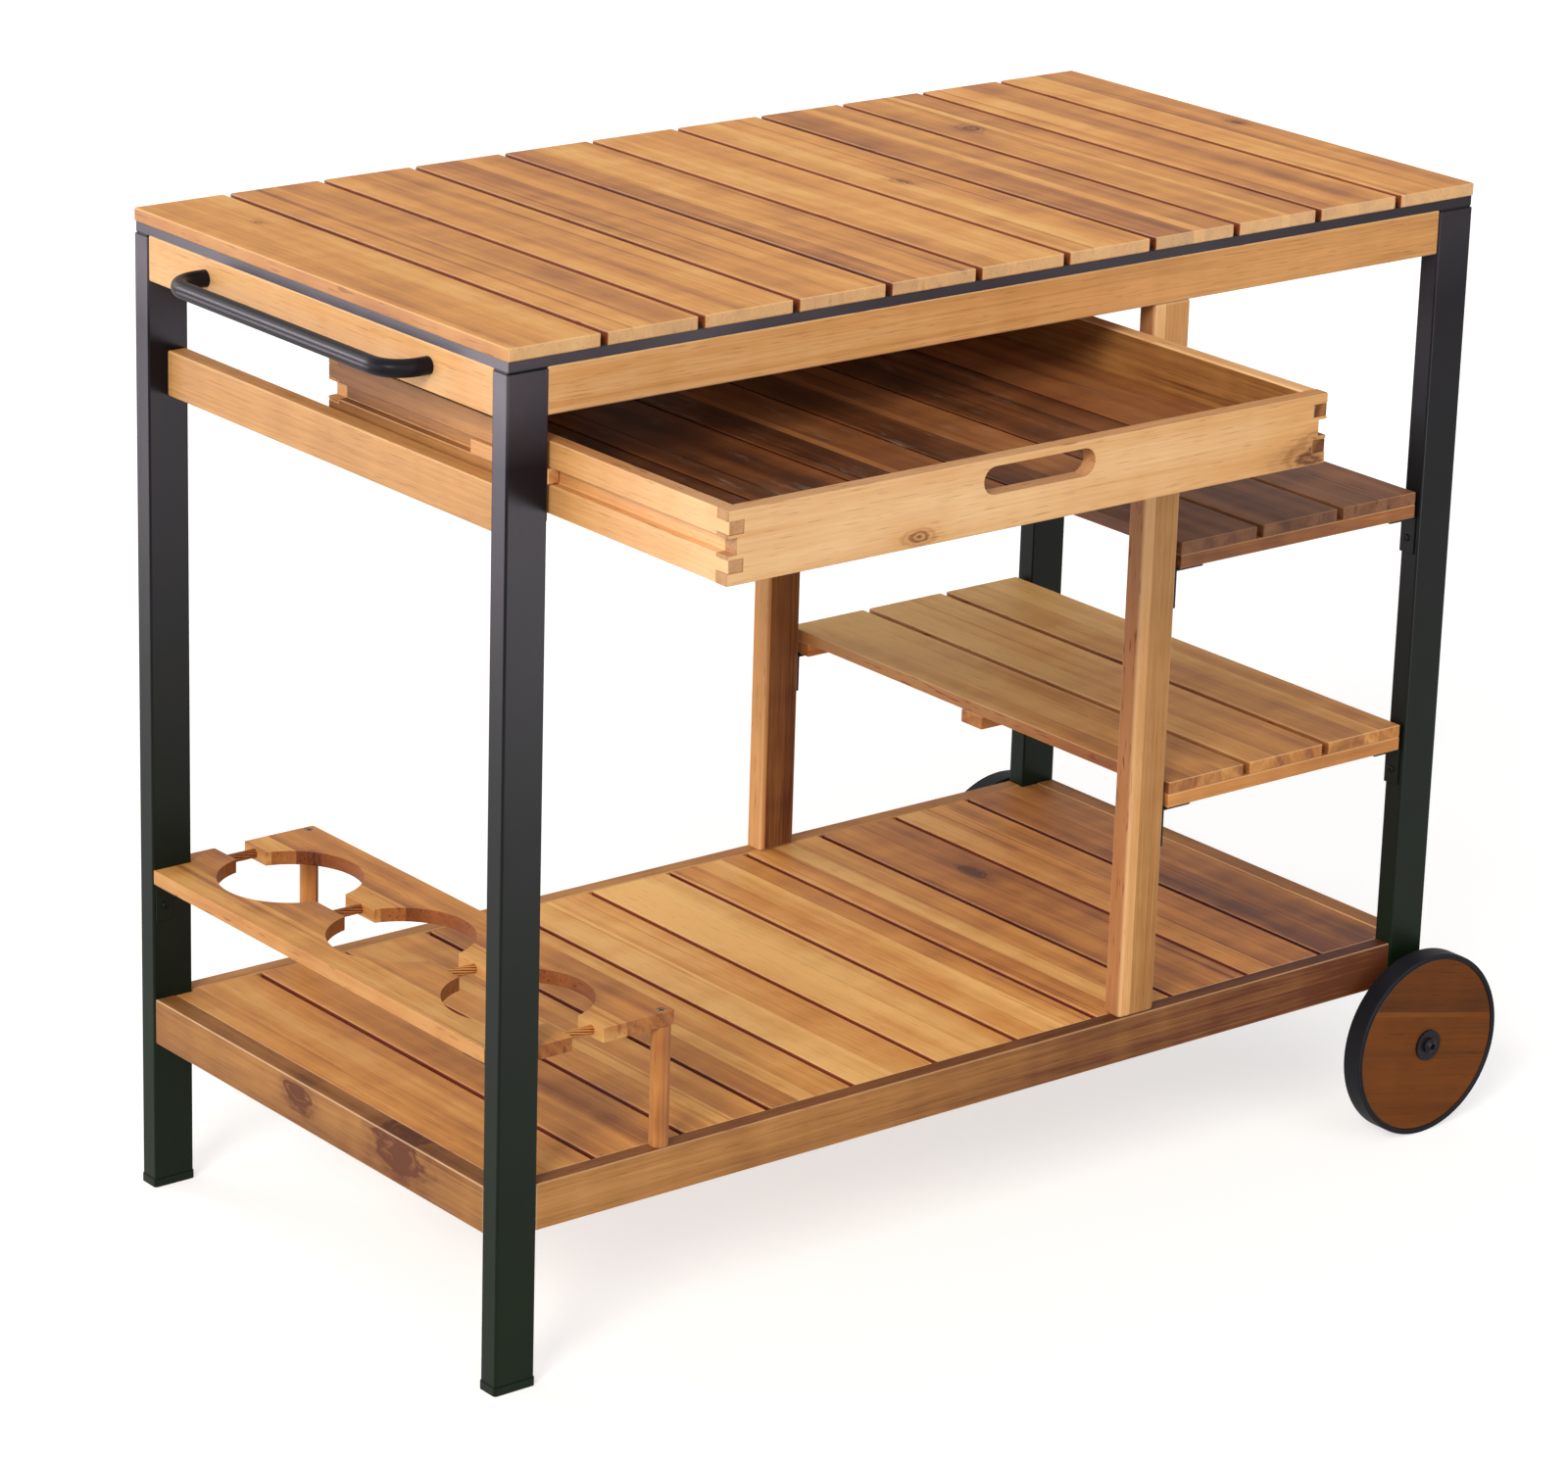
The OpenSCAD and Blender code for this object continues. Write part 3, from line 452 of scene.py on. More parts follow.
def acacia(name, pale, honey, brown, umber, bare_and_highlight, figure=1.0, roughness=0.56, worn=0.0, gloss=0.2):
    """Oiled acacia: strips glued edge to edge, soft bands and a shimmer, fine pores, worn pale edges with a
    painted highlight, and sides with painted shade where they face a gap.

    figure is how strong its bands are. They are 24 mm wide, its shimmer 32 mm long, its rings 11 mm
    apart and its fibres 2 mm. The pores, 0.3 mm in real wood, are drawn 1 mm wide so that they show.
    """
    material = new_material(name)
    tree = material.node_tree

    def read(label):
        """The three numbers that each point or face keeps under a name."""
        vector = add(tree, "Attribute", attribute_name=label)["Vector"]
        return tuple(add(tree, "SeparateXYZ", (vector,)))

    def distance(a, b):
        """How far a point lies from the origin of two directions."""
        squares = [add(tree, "Math", (part, 2.0), operation="POWER")[0] for part in (a, b)]
        total = add(tree, "Math", squares, operation="ADD")[0]
        return add(tree, "Math", (total,), operation="SQRT")[0]

    along, across, through = read("grain")
    seed, edge_a, edge_b = read("board")
    tone_1, tone_2, tone_3 = read("tones")
    cut, side, rub = read("faces")

    # The strip that a point lies in, its tone and its chances
    tone = tone_1
    past = []
    for edge, before, after in ((edge_a, tone_1, tone_2), (edge_b, tone_2, tone_3)):
        past.append(add(tree, "Math", (across, edge), operation="GREATER_THAN")[0])
        change = add(tree, "Math", (after, before), operation="SUBTRACT")[0]
        tone = add(tree, "Math", (past[-1], change, tone), operation="MULTIPLY_ADD")[0]
    strip = add(tree, "Math", past, operation="ADD")[0]
    strip_seed = add(tree, "Math", (strip, 3.71, seed), operation="MULTIPLY_ADD")[0]
    chance = add(tree, "TexWhiteNoise", {"W": strip_seed}, noise_dimensions="1D")["Color"]
    chance = add(tree, "SeparateColor", (chance,))

    def noise(long_mm, wide_mm, shift, detail=2.0, rough=0.5):
        """Noise stretched along the grain, centred on 0, different in each strip and layer."""
        start = add(tree, "Math", (strip_seed, 13.7 + shift), operation="MULTIPLY")[0]
        x = add(tree, "Math", (along, 1000 / long_mm, start), operation="MULTIPLY_ADD")[0]
        y = add(tree, "Math", (across, 1000 / wide_mm, shift), operation="MULTIPLY_ADD")[0]
        z = add(tree, "Math", (through, 400 / wide_mm), operation="MULTIPLY")[0]
        place = add(tree, "CombineXYZ", (x, y, z))[0]
        values = {"Vector": place, "Scale": 1.0, "Detail": detail, "Roughness": rough}
        field = add(tree, "TexNoise", values)["Fac"]
        return add(tree, "Math", (field, 0.5), operation="SUBTRACT")[0]

    def peaks(low, high, *layer):
        """The peaks of a noise: 0 where it is under low, 1 where it is over high."""
        values = (noise(*layer), low, high)
        return add(tree, "MapRange", values, interpolation_type="SMOOTHSTEP")[0]

    # Knots: a dark eye with circles, in a swirl that bends the rings
    bend = 0.0
    shadow = 0.0
    for label in ("knot", "knot_2"):
        knot_along, knot_across, knot_radius = read(label)
        off_along = add(tree, "Math", (along, knot_along), operation="SUBTRACT")[0]
        off_along = add(tree, "Math", (off_along, KNOT_SQUEEZE), operation="MULTIPLY")[0]
        off_across = add(tree, "Math", (across, knot_across), operation="SUBTRACT")[0]
        reach = distance(off_along, off_across)
        wobble = add(tree, "Math", (knot_radius, 2.0), operation="MULTIPLY")[0]
        reach = add(tree, "Math", (noise(30, 14, 7.0, 3.0), wobble, reach), operation="MULTIPLY_ADD")[0]
        size = add(tree, "Math", (knot_radius, LEAST_KNOT), operation="MAXIMUM")[0]
        reach = add(tree, "Math", (reach, size), operation="DIVIDE")[0]
        square = add(tree, "Math", (reach, 2.0), operation="POWER")[0]
        swirl = add(tree, "Math", (square, -0.25), operation="MULTIPLY")[0]
        swirl = add(tree, "Math", (swirl,), operation="EXPONENT")[0]
        eye = add(tree, "Math", (square, -1.1), operation="MULTIPLY")[0]
        eye = add(tree, "Math", (eye,), operation="EXPONENT")[0]
        wave = add(tree, "Math", (reach, 11.0), operation="MULTIPLY")[0]
        wave = add(tree, "Math", (wave,), operation="SINE")[0]
        circles = add(tree, "Math", (wave, 0.2, -0.38), operation="MULTIPLY_ADD")[0]
        bend = add(tree, "Math", (swirl, 0.012, bend), operation="MULTIPLY_ADD")[0]
        shadow = add(tree, "Math", (swirl, -0.1, shadow), operation="MULTIPLY_ADD")[0]
        shadow = add(tree, "Math", (eye, circles, shadow), operation="MULTIPLY_ADD")[0]

    # Growth rings round a pith that lies beside and below the strip, as its chances say
    pith_y = add(tree, "Math", (chance[0], 0.5), operation="SUBTRACT")[0]
    pith_y = add(tree, "Math", (pith_y, 0.16), operation="MULTIPLY")[0]
    pith_z = add(tree, "Math", (chance[1], 0.09, 0.03), operation="MULTIPLY_ADD")[0]
    off_y = add(tree, "Math", (across, pith_y), operation="SUBTRACT")[0]
    off_z = add(tree, "Math", (through, pith_z), operation="ADD")[0]
    radius = distance(off_y, off_z)
    radius = add(tree, "Math", (noise(380, 160, 1.0, 3.0), 0.06, radius), operation="MULTIPLY_ADD")[0]
    radius = add(tree, "Math", (radius, bend), operation="ADD")[0]
    start = add(tree, "Math", (strip_seed, 9.1), operation="MULTIPLY")[0]
    ring_place = add(tree, "Math", (radius, 1000 / RING_MM, start), operation="MULTIPLY_ADD")[0]
    values = {"W": ring_place, "Scale": 1.0, "Detail": 1.5, "Roughness": 0.5}
    rings = add(tree, "TexNoise", values, noise_dimensions="1D")["Fac"]
    rings = add(tree, "Math", (rings, 0.5), operation="SUBTRACT")[0]

    # How pale each point is: 0 umber, 0.28 brown, 0.58 honey, 0.95 pale
    value = add(tree, "Math", (tone, 0.42, 0.52), operation="MULTIPLY_ADD")[0]
    strength = add(tree, "Math", (cut, 1.6, 0.2 * figure), operation="MULTIPLY_ADD")[0]
    strength = add(tree, "Math", (strength, 0.8), operation="MINIMUM")[0]
    value = add(tree, "Math", (rings, strength, value), operation="MULTIPLY_ADD")[0]
    for long_mm, wide_mm, shift, strength, detail in ACACIA_LAYERS:
        layer = noise(long_mm, wide_mm, shift, detail)
        value = add(tree, "Math", (layer, strength * figure, value), operation="MULTIPLY_ADD")[0]
    fibres = noise(90, 2, 2.0, 3.0, 0.6)
    value = add(tree, "Math", (fibres, 0.34, value), operation="MULTIPLY_ADD")[0]
    lines = peaks(0.15, 0.25, 700, 8, 8.0, 1.0)
    value = add(tree, "Math", (lines, -0.24 * figure, value), operation="MULTIPLY_ADD")[0]
    value = add(tree, "Math", (value, shadow), operation="ADD")[0]
    ramp = add(tree, "ValToRGB", (value,))["Color"]
    stops = ramp.node.color_ramp.elements
    stops[0].color = rgba(umber)
    stops[1].color = rgba(pale)
    stops[1].position = 0.95
    stops.new(0.28).color = rgba(brown)
    stops.new(0.58).color = rgba(honey)

    # Laid over that: a redder chance, pale edges that are partly worn and partly a painted highlight, dark
    # pores and cut ends, sides darkened partly by painted shade in the gaps, and scuffs
    pale_edge_and_highlight = add(tree, "Math", (rub, 0.6), operation="MULTIPLY")[0]
    pores = peaks(0.13, 0.24, 26, 1.0, 9.0, 1.0)
    # Darker cut ends and pores, and painted shade on the sides
    dark_grain_and_gap_shade = add(tree, "Math", (cut, 0.5, side), operation="MULTIPLY_ADD")[0]
    dark_grain_and_gap_shade = add(tree, "Math", (pores, 0.36, dark_grain_and_gap_shade), operation="MULTIPLY_ADD")[0]
    overlays = [
        (chance[2], (1.0, 0.94, 0.9), "MULTIPLY"),
        (pale_edge_and_highlight, bare_and_highlight, "MIX"),
        (dark_grain_and_gap_shade, linear(END_PORE_AND_GAP_SHADE_TINT), "MULTIPLY"),
    ]
    if worn:
        scuffs = peaks(0.06, 0.26, 70, 12, 10.0, 4.0, 0.7)
        scuffs = add(tree, "Math", (scuffs, worn), operation="MULTIPLY")[0]
        overlays.append((scuffs, linear(SCUFF_TINT), "MIX"))
    tint = ramp
    for share, over, blend in overlays:
        tint = add(tree, "Mix", {0: share, 6: tint, 7: rgba(over)}, data_type="RGBA", blend_type=blend)[2]

    dull = add(tree, "Math", (fibres, 0.2, roughness), operation="MULTIPLY_ADD")[0]
    dull = add(tree, "Math", (cut, 0.15, dull), operation="MULTIPLY_ADD")[0]
    height = add(tree, "Math", (pores, -0.5, fibres), operation="MULTIPLY_ADD")[0]
    bump = add(tree, "Bump", {"Strength": 0.3, "Distance": 0.12 * MM, "Height": height})["Normal"]
    inputs = {"Base Color": tint, "Roughness": dull, "Specular IOR Level": gloss, "Normal": bump}
    return set_surface(material, inputs)


# Where the coat's painted shade fades out and its painted sheen comes in, in metres up the cart, and how the
# sheen fades from its left to its right end
PAINTED_SHADE_RISE = (0.1, 0.75)
PAINTED_SHEEN_RISE = (0.755, 0.815)
CART_ENDS = (-0.5, 0.5)
PAINTED_SHEEN_RIGHT_SHARE = 0.25
CLOUDS_PER_METRE = 22.0
ROUGHNESS_SPREAD = 0.07


def coated(name, tints, roughness, grit_mm, lift, bump_mm, gloss):
    """A black coat or moulding: fine even grit and soft clouds.

    tints are its colours near the floor, as usual, and at the top left corner: the first is painted shade,
    darker and greener, and the last a painted sheen. lift is how much paler its clouds are. Real grit is
    about 0.3 mm wide, and is drawn 0.6 to 1.2 mm so that it shows.
    """
    painted_shade_tint, usual_tint, painted_sheen_tint = tints
    material = new_material(name)
    tree = material.node_tree
    spot = add(tree, "TexCoord")["Object"]
    x, _, z = add(tree, "SeparateXYZ", (spot,))
    # Painted shade fades out up the cart; a painted sheen comes in at the top, strongest at the left end.
    height = add(tree, "MapRange", (z, *PAINTED_SHADE_RISE))[0]
    top = add(tree, "MapRange", (z, *PAINTED_SHEEN_RISE))[0]
    left = add(tree, "MapRange", (x, *CART_ENDS, 1.0, PAINTED_SHEEN_RIGHT_SHARE))[0]
    lit = add(tree, "Math", (top, left), operation="MULTIPLY")[0]
    cloud = add(tree, "TexNoise", {"Vector": spot, "Scale": CLOUDS_PER_METRE, "Detail": 3.0})["Fac"]
    level = add(tree, "MapRange", (cloud, 0.3, 0.7))[0]
    body = rgba(painted_shade_tint)
    for share, over, blend in (
        (height, usual_tint, "MIX"), (lit, painted_sheen_tint, "MIX"), (level, (lift, lift, lift), "MULTIPLY"),
    ):
        body = add(tree, "Mix", {0: share, 6: body, 7: rgba(over)}, data_type="RGBA", blend_type=blend)[2]
    grit = add(tree, "TexNoise", {"Vector": spot, "Scale": 1 / (grit_mm * MM), "Detail": 2.0})["Fac"]
    spread = (roughness - ROUGHNESS_SPREAD, roughness + ROUGHNESS_SPREAD)
    rough = add(tree, "MapRange", (grit, 0.0, 1.0, *spread))[0]
    bump = add(tree, "Bump", {"Strength": 0.3, "Distance": bump_mm * MM, "Height": grit})["Normal"]
    inputs = {"Base Color": body, "Roughness": rough, "Specular IOR Level": gloss, "Normal": bump}
    return set_surface(material, inputs)


PLATING_CLOUD = 2.5 * MM


def plated(name, tint, roughness):
    """Plated steel: a pale metal with faint clouds where the plating varies."""
    material = new_material(name)
    tree = material.node_tree
    spot = add(tree, "TexCoord")["Object"]
    cloud = add(tree, "TexNoise", {"Vector": spot, "Scale": 1 / PLATING_CLOUD, "Detail": 3.0})["Fac"]
    dim = rgba([c * 0.8 for c in tint])
    body = add(tree, "Mix", {0: cloud, 6: dim, 7: rgba(tint)}, data_type="RGBA")[2]
    return set_surface(material, {"Base Color": body, "Metallic": 1.0, "Roughness": roughness})


MATERIALS = {}


def make_materials():
    """Makes each finish once, for the operators to give out."""
    wood = settings("cart_wood")
    metal = settings("cart_metal")
    # Acacia, planed and oiled: warm, uneven from strip to strip, with a low soft sheen.
    MATERIALS["boards"] = acacia("oiled acacia", wood.pale, wood.honey, wood.brown, wood.umber, wood.bare_and_highlight)
    # The same wood's sapwood in narrow straight pieces: paler and quieter.
    MATERIALS["frame"] = acacia(
        "oiled acacia sapwood", linear("#F1CC99"), wood.tan, linear("#A6743F"), wood.umber, wood.bare_and_highlight,
        figure=0.45, gloss=0.12,
    )
    # Acacia under a brown stain: dark and even, its grain only just showing.
    MATERIALS["wheel"] = acacia(
        "stained acacia", linear("#8A5726"), wood.wheel, linear("#532E10"), linear("#3A200E"),
        linear("#8A5726"), figure=0.6, gloss=0.07,
    )
    # Oiled heartwood that glasses have rubbed: deep brown with pale dull scuffs.
    MATERIALS["tray_floor"] = acacia(
        "oiled acacia heartwood", linear("#A8703F"), wood.tray_honey, wood.tray_brown, linear("#22120A"),
        linear("#A8703F"), worn=0.4,
    )
    # Acacia for the upper shelf: greyer, darker and duller than the other boards.
    MATERIALS["upper_shelf"] = acacia(
        "weathered acacia", linear("#9C7354"), wood.shelf_honey, wood.shelf_brown, linear("#3A2419"),
        linear("#B58A62"), roughness=0.62, worn=0.15,
    )
    # The low tint in these is painted shade, darker and greener near the floor, and the coat's top tint is a
    # painted sheen at its top left corner.
    coat = (metal.coat_low_painted_shade, metal.coat, metal.coat_top_painted_sheen)
    bar = (metal.coat_low_painted_shade, metal.coat, metal.coat)
    bolt = (metal.coat, metal.coat, metal.coat)
    plastic = (metal.coat_low_painted_shade, metal.plastic, metal.plastic)
    rubber = (metal.rubber, metal.rubber, metal.rubber)
    # Powder coat, sprayed and baked: an even black, faintly gritty, with a broad soft highlight from the
    # lamps, a painted sheen at its top left and painted shade near the floor.
    MATERIALS["coat"] = coated("powder-coated steel", coat, 0.36, 0.9, 1.25, 0.04, 0.11)
    # The same coat rubbed smoother by hands: a slightly sharper line of light.
    MATERIALS["handle"] = coated("satin powder-coated steel", bar, 0.34, 0.9, 1.25, 0.03, 0.1)
    # Chemically blackened steel: a thin dark skin with a short dull glint.
    MATERIALS["bolt"] = coated("blackened steel", bolt, 0.38, 0.7, 1.25, 0.03, 0.12)
    # Polypropylene, moulded: a flat black with the mould's faint grain.
    MATERIALS["plastic"] = coated("moulded polypropylene", plastic, 0.45, 0.6, 1.15, 0.03, 0.11)
    # Rubber, vulcanised in a mould: the dullest black, which light only greys.
    MATERIALS["rubber"] = coated("vulcanised rubber", rubber, 0.6, 1.2, 1.3, 0.06, 0.12)
    # Steel plated with zinc: pale and bright.
    MATERIALS["zinc"] = plated("zinc-plated steel", metal.zinc, 0.35)
    # Steel with yellow passivated zinc: small warm glints.
    MATERIALS["screw"] = plated("yellow-passivated steel", metal.screw, 0.3)


# How the boards are glued, from left to right
#
# A knot is its place along, its place across and its radius, in mm. Each rail also has the
# softening of its edges, in mm.

WORKTOP_BOARDS = (
    board((1.0, 0.18), knots=[(163, 14, 4)]),
    board((0.5, 0.0), (0.5, -0.12)),
    board((0.35, 0.15), (0.65, -0.08)),
    board((0.5, -0.18), (0.5, 0.1)),
    board((0.3, -0.25), (0.7, 0.08)),
    board((0.3, 0.1), (0.7, 0.22)),
    board((0.45, 0.24), (0.55, 0.12), knots=[(2, -3, 7)]),
    board((0.48, -0.5), (0.14, 0.45), (0.38, -0.1)),
    board((0.55, -0.08), (0.1, 0.45), (0.35, -0.4), knots=[(123, -8, 9)]),
    board((0.5, 0.05), (0.5, -0.3)),
    board((0.48, 0.15), (0.52, -0.2), knots=[(19, 26, 5)]),
)
BOTTOM_BOARDS = (
    board((0.3, 0.05), (0.5, 0.25), (0.2, -0.1)),
    board((0.5, 0.02), (0.5, -0.15)),
    board((0.4, 0.1), (0.2, 0.5), (0.4, -0.1)),
    board((0.35, -0.1), (0.2, 0.55), (0.45, 0.15)),
    board((0.5, 0.85), (0.5, 0.45)),
    board((0.55, 1.0), (0.45, 0.6), lean=0.2),
    board((0.35, 0.25), (0.35, 0.7), (0.3, 0.1)),
    board((0.35, -0.05), (0.25, 0.75), (0.4, 0.05), lean=0.15),
    # Painted shade: the last boards are dark, and darker towards the front, where the middle shelf and the
    # front post shade them.
    board((0.5, -0.2), (0.5, -0.5), knots=[(85, 12, 8)], lean=0.15),
    board((0.35, 0.2), (0.3, -0.05), (0.35, -0.35), lean=0.35),
    board((0.5, -0.7), (0.5, -0.6), lean=0.35),
)
TRAY_FLOOR_BOARDS = (
    # Painted shade: the first boards are darker, where the worktop shades the tray's left part.
    board((0.5, -0.5), (0.5, -0.6)),
    board((0.5, -0.2), (0.5, -0.35)),
    board((0.42, -0.4), (0.1, 0.7), (0.48, 0.0)),
    board((0.45, -0.35), (0.1, 0.5), (0.45, 0.25)),
    board((0.5, -0.25), (0.5, -0.05)),
    board((0.4, 0.45), (0.6, 0.3)),
)
# Painted light: these boards are paler, and paler towards the back, where the tray and the worktop shade the
# shelf.
MIDDLE_SHELF_BOARDS = (
    board((0.3, 0.35), (0.4, 0.75), (0.3, 0.4), lean=0.7),
    board((0.35, 0.8), (0.65, 0.25), lean=0.6),
    board((0.5, 0.15), (0.2, 0.7), (0.3, 0.3), lean=0.5),
)
UPPER_SHELF_BOARDS = (
    board((0.5, 0.05), (0.5, -0.05), ends=0.1),
    board((1.0, -0.1), ends=0.1),
    board((0.6, 0.1), (0.4, 0.0), ends=0.1),
)
RAILS = {
    "apron_front": (board((1.0, 0.1), lean=-0.2), 1.2),
    "apron_back": (board((1.0, 0.1)), 1.2),
    "apron_left": (board((1.0, 0.3)), 1.2),
    "apron_right": (board((1.0, 0.1)), 1.2),
    "shelf_rail_front": (board((1.0, -0.85), sides=(0, 0.6), lean=-0.4), 1.6),
    "shelf_rail_back": (board((1.0, -0.2), sides=(0, 0.25)), 1.6),
    "shelf_rail_left": (board((1.0, -0.7), knots=[(22, 8, 9), (-122, 10, 16)], sides=(0, 0.2)), 1.8),
    "shelf_rail_right": (board((1.0, -0.1), sides=(0, 0.5)), 1.6),
    "bottom_shelf_bearers": (board((1.0, -0.1)), 1.1),
    # The front post's darker side faces are painted shade; the back post's dark tone is partly its own wood
    # and partly painted shade.
    "post_front": (board((0.3, 0.3), (0.7, -0.35), sides=(0.6, 0.3), lean=0.1), 2.6),
    "post_back": (board((0.14, 0.1), (0.86, -1.0)), 2.0),
    "tray_rail_left": (board((1.0, -0.2)), 1.4),
    "tray_rail_right": (board((1.0, 0.1)), 1.4),
    "tray_ledges": (board((1.0, -0.1)), 1.1),
    "tray_guides": (board((1.0, 0.2)), 0.8),
}
TRAY_PANELS = {
    "front": board(
        (1.0, 0.42), knots=[(-116, -20, 8), (279, -22, 14)], ends=1.0, sides=(0.1, 0.4), holes=0.5,
        lean=-0.15,
    ),
    "back": board((1.0, 0.2), ends=1.0, sides=(0.1, 0.4)),
    # Painted shade: the left panel darkens towards its back, under the apron, and the right panel is dark
    # where its inner face lies in shade; a thin pale strip runs along its top.
    "left": board((1.0, -0.1), ends=1.0, sides=(0.1, 0.45), lean=-0.8),
    "right": board((0.97, -0.85), (0.03, 0.4), ends=1.0, sides=(0.1, 0.1)),
}
HOLDER_BOARDS = {
    "left": board((0.45, 0.2), (0.55, -0.25), holes=0.6, ends=1.3, sides=(0.3, 0.2)),
    "right": board(
        (0.33, 0.35), (0.67, -0.2), holes=0.75, knots=[(195, -2, 5)], ends=0.8, sides=(0.2, 0.3)
    ),
}


# Pins and screws


FLUTES = 10
SIDES_PER_FLUTE = 6
# Which corners of a flute's sides are drawn in, and to what share of the radius
FLUTE_STEPS = ((2, 0.9), (3, 0.8), (4, 0.9))
FLUTE_TWIST = math.radians(160)
TWIST_CUTS = 14
CROSS_ARM = 0.24


def fluted_pins(node, name):
    """Bridge dowels: a pin with ten winding flutes, modelled once and copied to each gap."""
    solid = merged_copy(node, "measure")
    boxes = solids_of(solid)
    bpy.data.objects.remove(solid)
    low, high = boxes[0]
    radius = (high.z - low.z) / 2
    length = high.x - low.x
    bpy.ops.object.select_all(action="DESELECT")
    bpy.ops.mesh.primitive_cylinder_add(
        vertices=FLUTES * SIDES_PER_FLUTE, radius=radius, depth=length, end_fill_type="TRIFAN"
    )
    pin = bpy.context.object
    mesh = pin.data
    bpy.ops.object.mode_set(mode="EDIT")
    bpy.ops.mesh.select_mode(type="VERT")
    corner = math.radians(360 / (FLUTES * SIDES_PER_FLUTE))
    for step, share in FLUTE_STEPS:
        bpy.ops.mesh.select_all(action="DESELECT")
        bpy.ops.object.mode_set(mode="OBJECT")
        for vertex in mesh.vertices:
            turn = round(math.atan2(vertex.co.y, vertex.co.x) / corner) % SIDES_PER_FLUTE
            vertex.select = turn == step and vertex.co.xy.length > radius / 2
        bpy.ops.object.mode_set(mode="EDIT")
        bpy.ops.transform.resize(value=(share, share, 1), center_override=(0, 0, 0))
    bpy.ops.mesh.select_mode(type="EDGE")
    bpy.ops.object.mode_set(mode="OBJECT")
    for edge in mesh.edges:
        ends = [mesh.vertices[i].co for i in edge.vertices]
        edge.select = abs(ends[0].z - ends[1].z) > length / 2
    bpy.ops.object.mode_set(mode="EDIT")
    bpy.ops.mesh.subdivide(number_cuts=TWIST_CUTS)
    bpy.ops.object.mode_set(mode="OBJECT")
    apply_modifier(pin, "SIMPLE_DEFORM", deform_method="TWIST", deform_axis="Z", angle=FLUTE_TWIST)
    bpy.ops.object.shade_smooth_by_angle(angle=SHARP_EDGE)
    pins = [pin] + [copy_of(pin) for _ in boxes[1:]]
    for each, (low, high) in zip(pins, boxes):
        place_at(each, (low + high) / 2, (0, math.radians(90), 0))
    return join(pins, name)


def cut_cross(piece, place, width, depth):
    """Cuts a cross recess into the top of a screw's head."""
    arm = CROSS_ARM * width
    for size in ((width, arm, 2 * depth), (arm, width, 2 * depth)):
        bpy.ops.object.select_all(action="DESELECT")
        bpy.ops.mesh.primitive_cube_add(size=1, location=place, scale=size)
        cutter = bpy.context.object
        apply_modifier(piece, "BOOLEAN", operation="DIFFERENCE", object=cutter, solver="EXACT")
        bpy.data.objects.remove(cutter)


def crossed_screws():
    """The bottle holder's screws, with a cross recess in each head."""
    screws = merged_copy("holder_screws", "holder_screw_heads")
    for low, high in solids_of(screws):
        middle = (low + high) / 2
        cut_cross(screws, (middle.x, middle.y, high.z), width=5.4 * MM, depth=2.2 * MM)
    bpy.ops.object.shade_smooth_by_angle(angle=SCREW_SMOOTH_ANGLE)
    return screws


def pan_head(radius, height):
    """A pan head with a cross recess, its seat at the origin and its top towards Z."""
    bpy.ops.object.select_all(action="DESELECT")
    bpy.ops.mesh.primitive_cylinder_add(vertices=32, radius=radius, depth=height, location=(0, 0, height / 2))
    head = bpy.context.object
    bpy.ops.object.mode_set(mode="EDIT")
    bpy.ops.mesh.select_all(action="DESELECT")
    bpy.ops.object.mode_set(mode="OBJECT")
    rim = {i for i, vertex in enumerate(head.data.vertices) if vertex.co.z > 0}
    for edge in head.data.edges:
        edge.select = set(edge.vertices) <= rim
    bpy.ops.object.mode_set(mode="EDIT")
    bpy.ops.mesh.select_mode(type="EDGE")
    bpy.ops.mesh.bevel(offset=0.6 * height, segments=4, affect="EDGES")
    bpy.ops.object.mode_set(mode="OBJECT")
    only(head)
    bpy.ops.object.transform_apply(location=True, rotation=True, scale=True)
    cut_cross(head, (0, 0, height), width=1.1 * radius, depth=0.5 * height)
    bpy.ops.object.shade_smooth_by_angle(angle=SCREW_SMOOTH_ANGLE)
    return head


def bracket_screws(boxes, brackets):
    """A screw up through each bracket's lying plate and one through its standing plate."""
    points = [vertex.co for vertex in brackets.data.vertices]
    head = pan_head(radius=3.2 * MM, height=1.8 * MM)
    heads = []
    for low, high in boxes:
        inside = [p for p in points if all(low[k] - MM < p[k] < high[k] + MM for k in range(3))]
        foot = [p for p in inside if p.z < low.z + MM]
        foot_low, foot_high = corners(foot)
        plate = (foot_low + foot_high) / 2
        middle = (low + high) / 2
        away = Vector((middle.x - plate.x, middle.y - plate.y, 0))
        thick = min(foot_high.x - foot_low.x, foot_high.y - foot_low.y)
        reach = 2 * away.length + thick
        away.normalize()
        standing = copy_of(head)
        spot = plate + away * thick / 2
        spot.z = low.z + 0.4 * (high.z - low.z)
        place_at(standing, spot, away.to_track_quat("Z", "Y").to_euler())
        lying = copy_of(head)
        spot = plate + away * (0.7 * reach - thick / 2)
        spot.z = high.z - thick
        place_at(lying, spot, (math.pi, 0, 0))
        heads += [standing, lying]
    bpy.data.objects.remove(head)
    return heads


# The groups of pieces


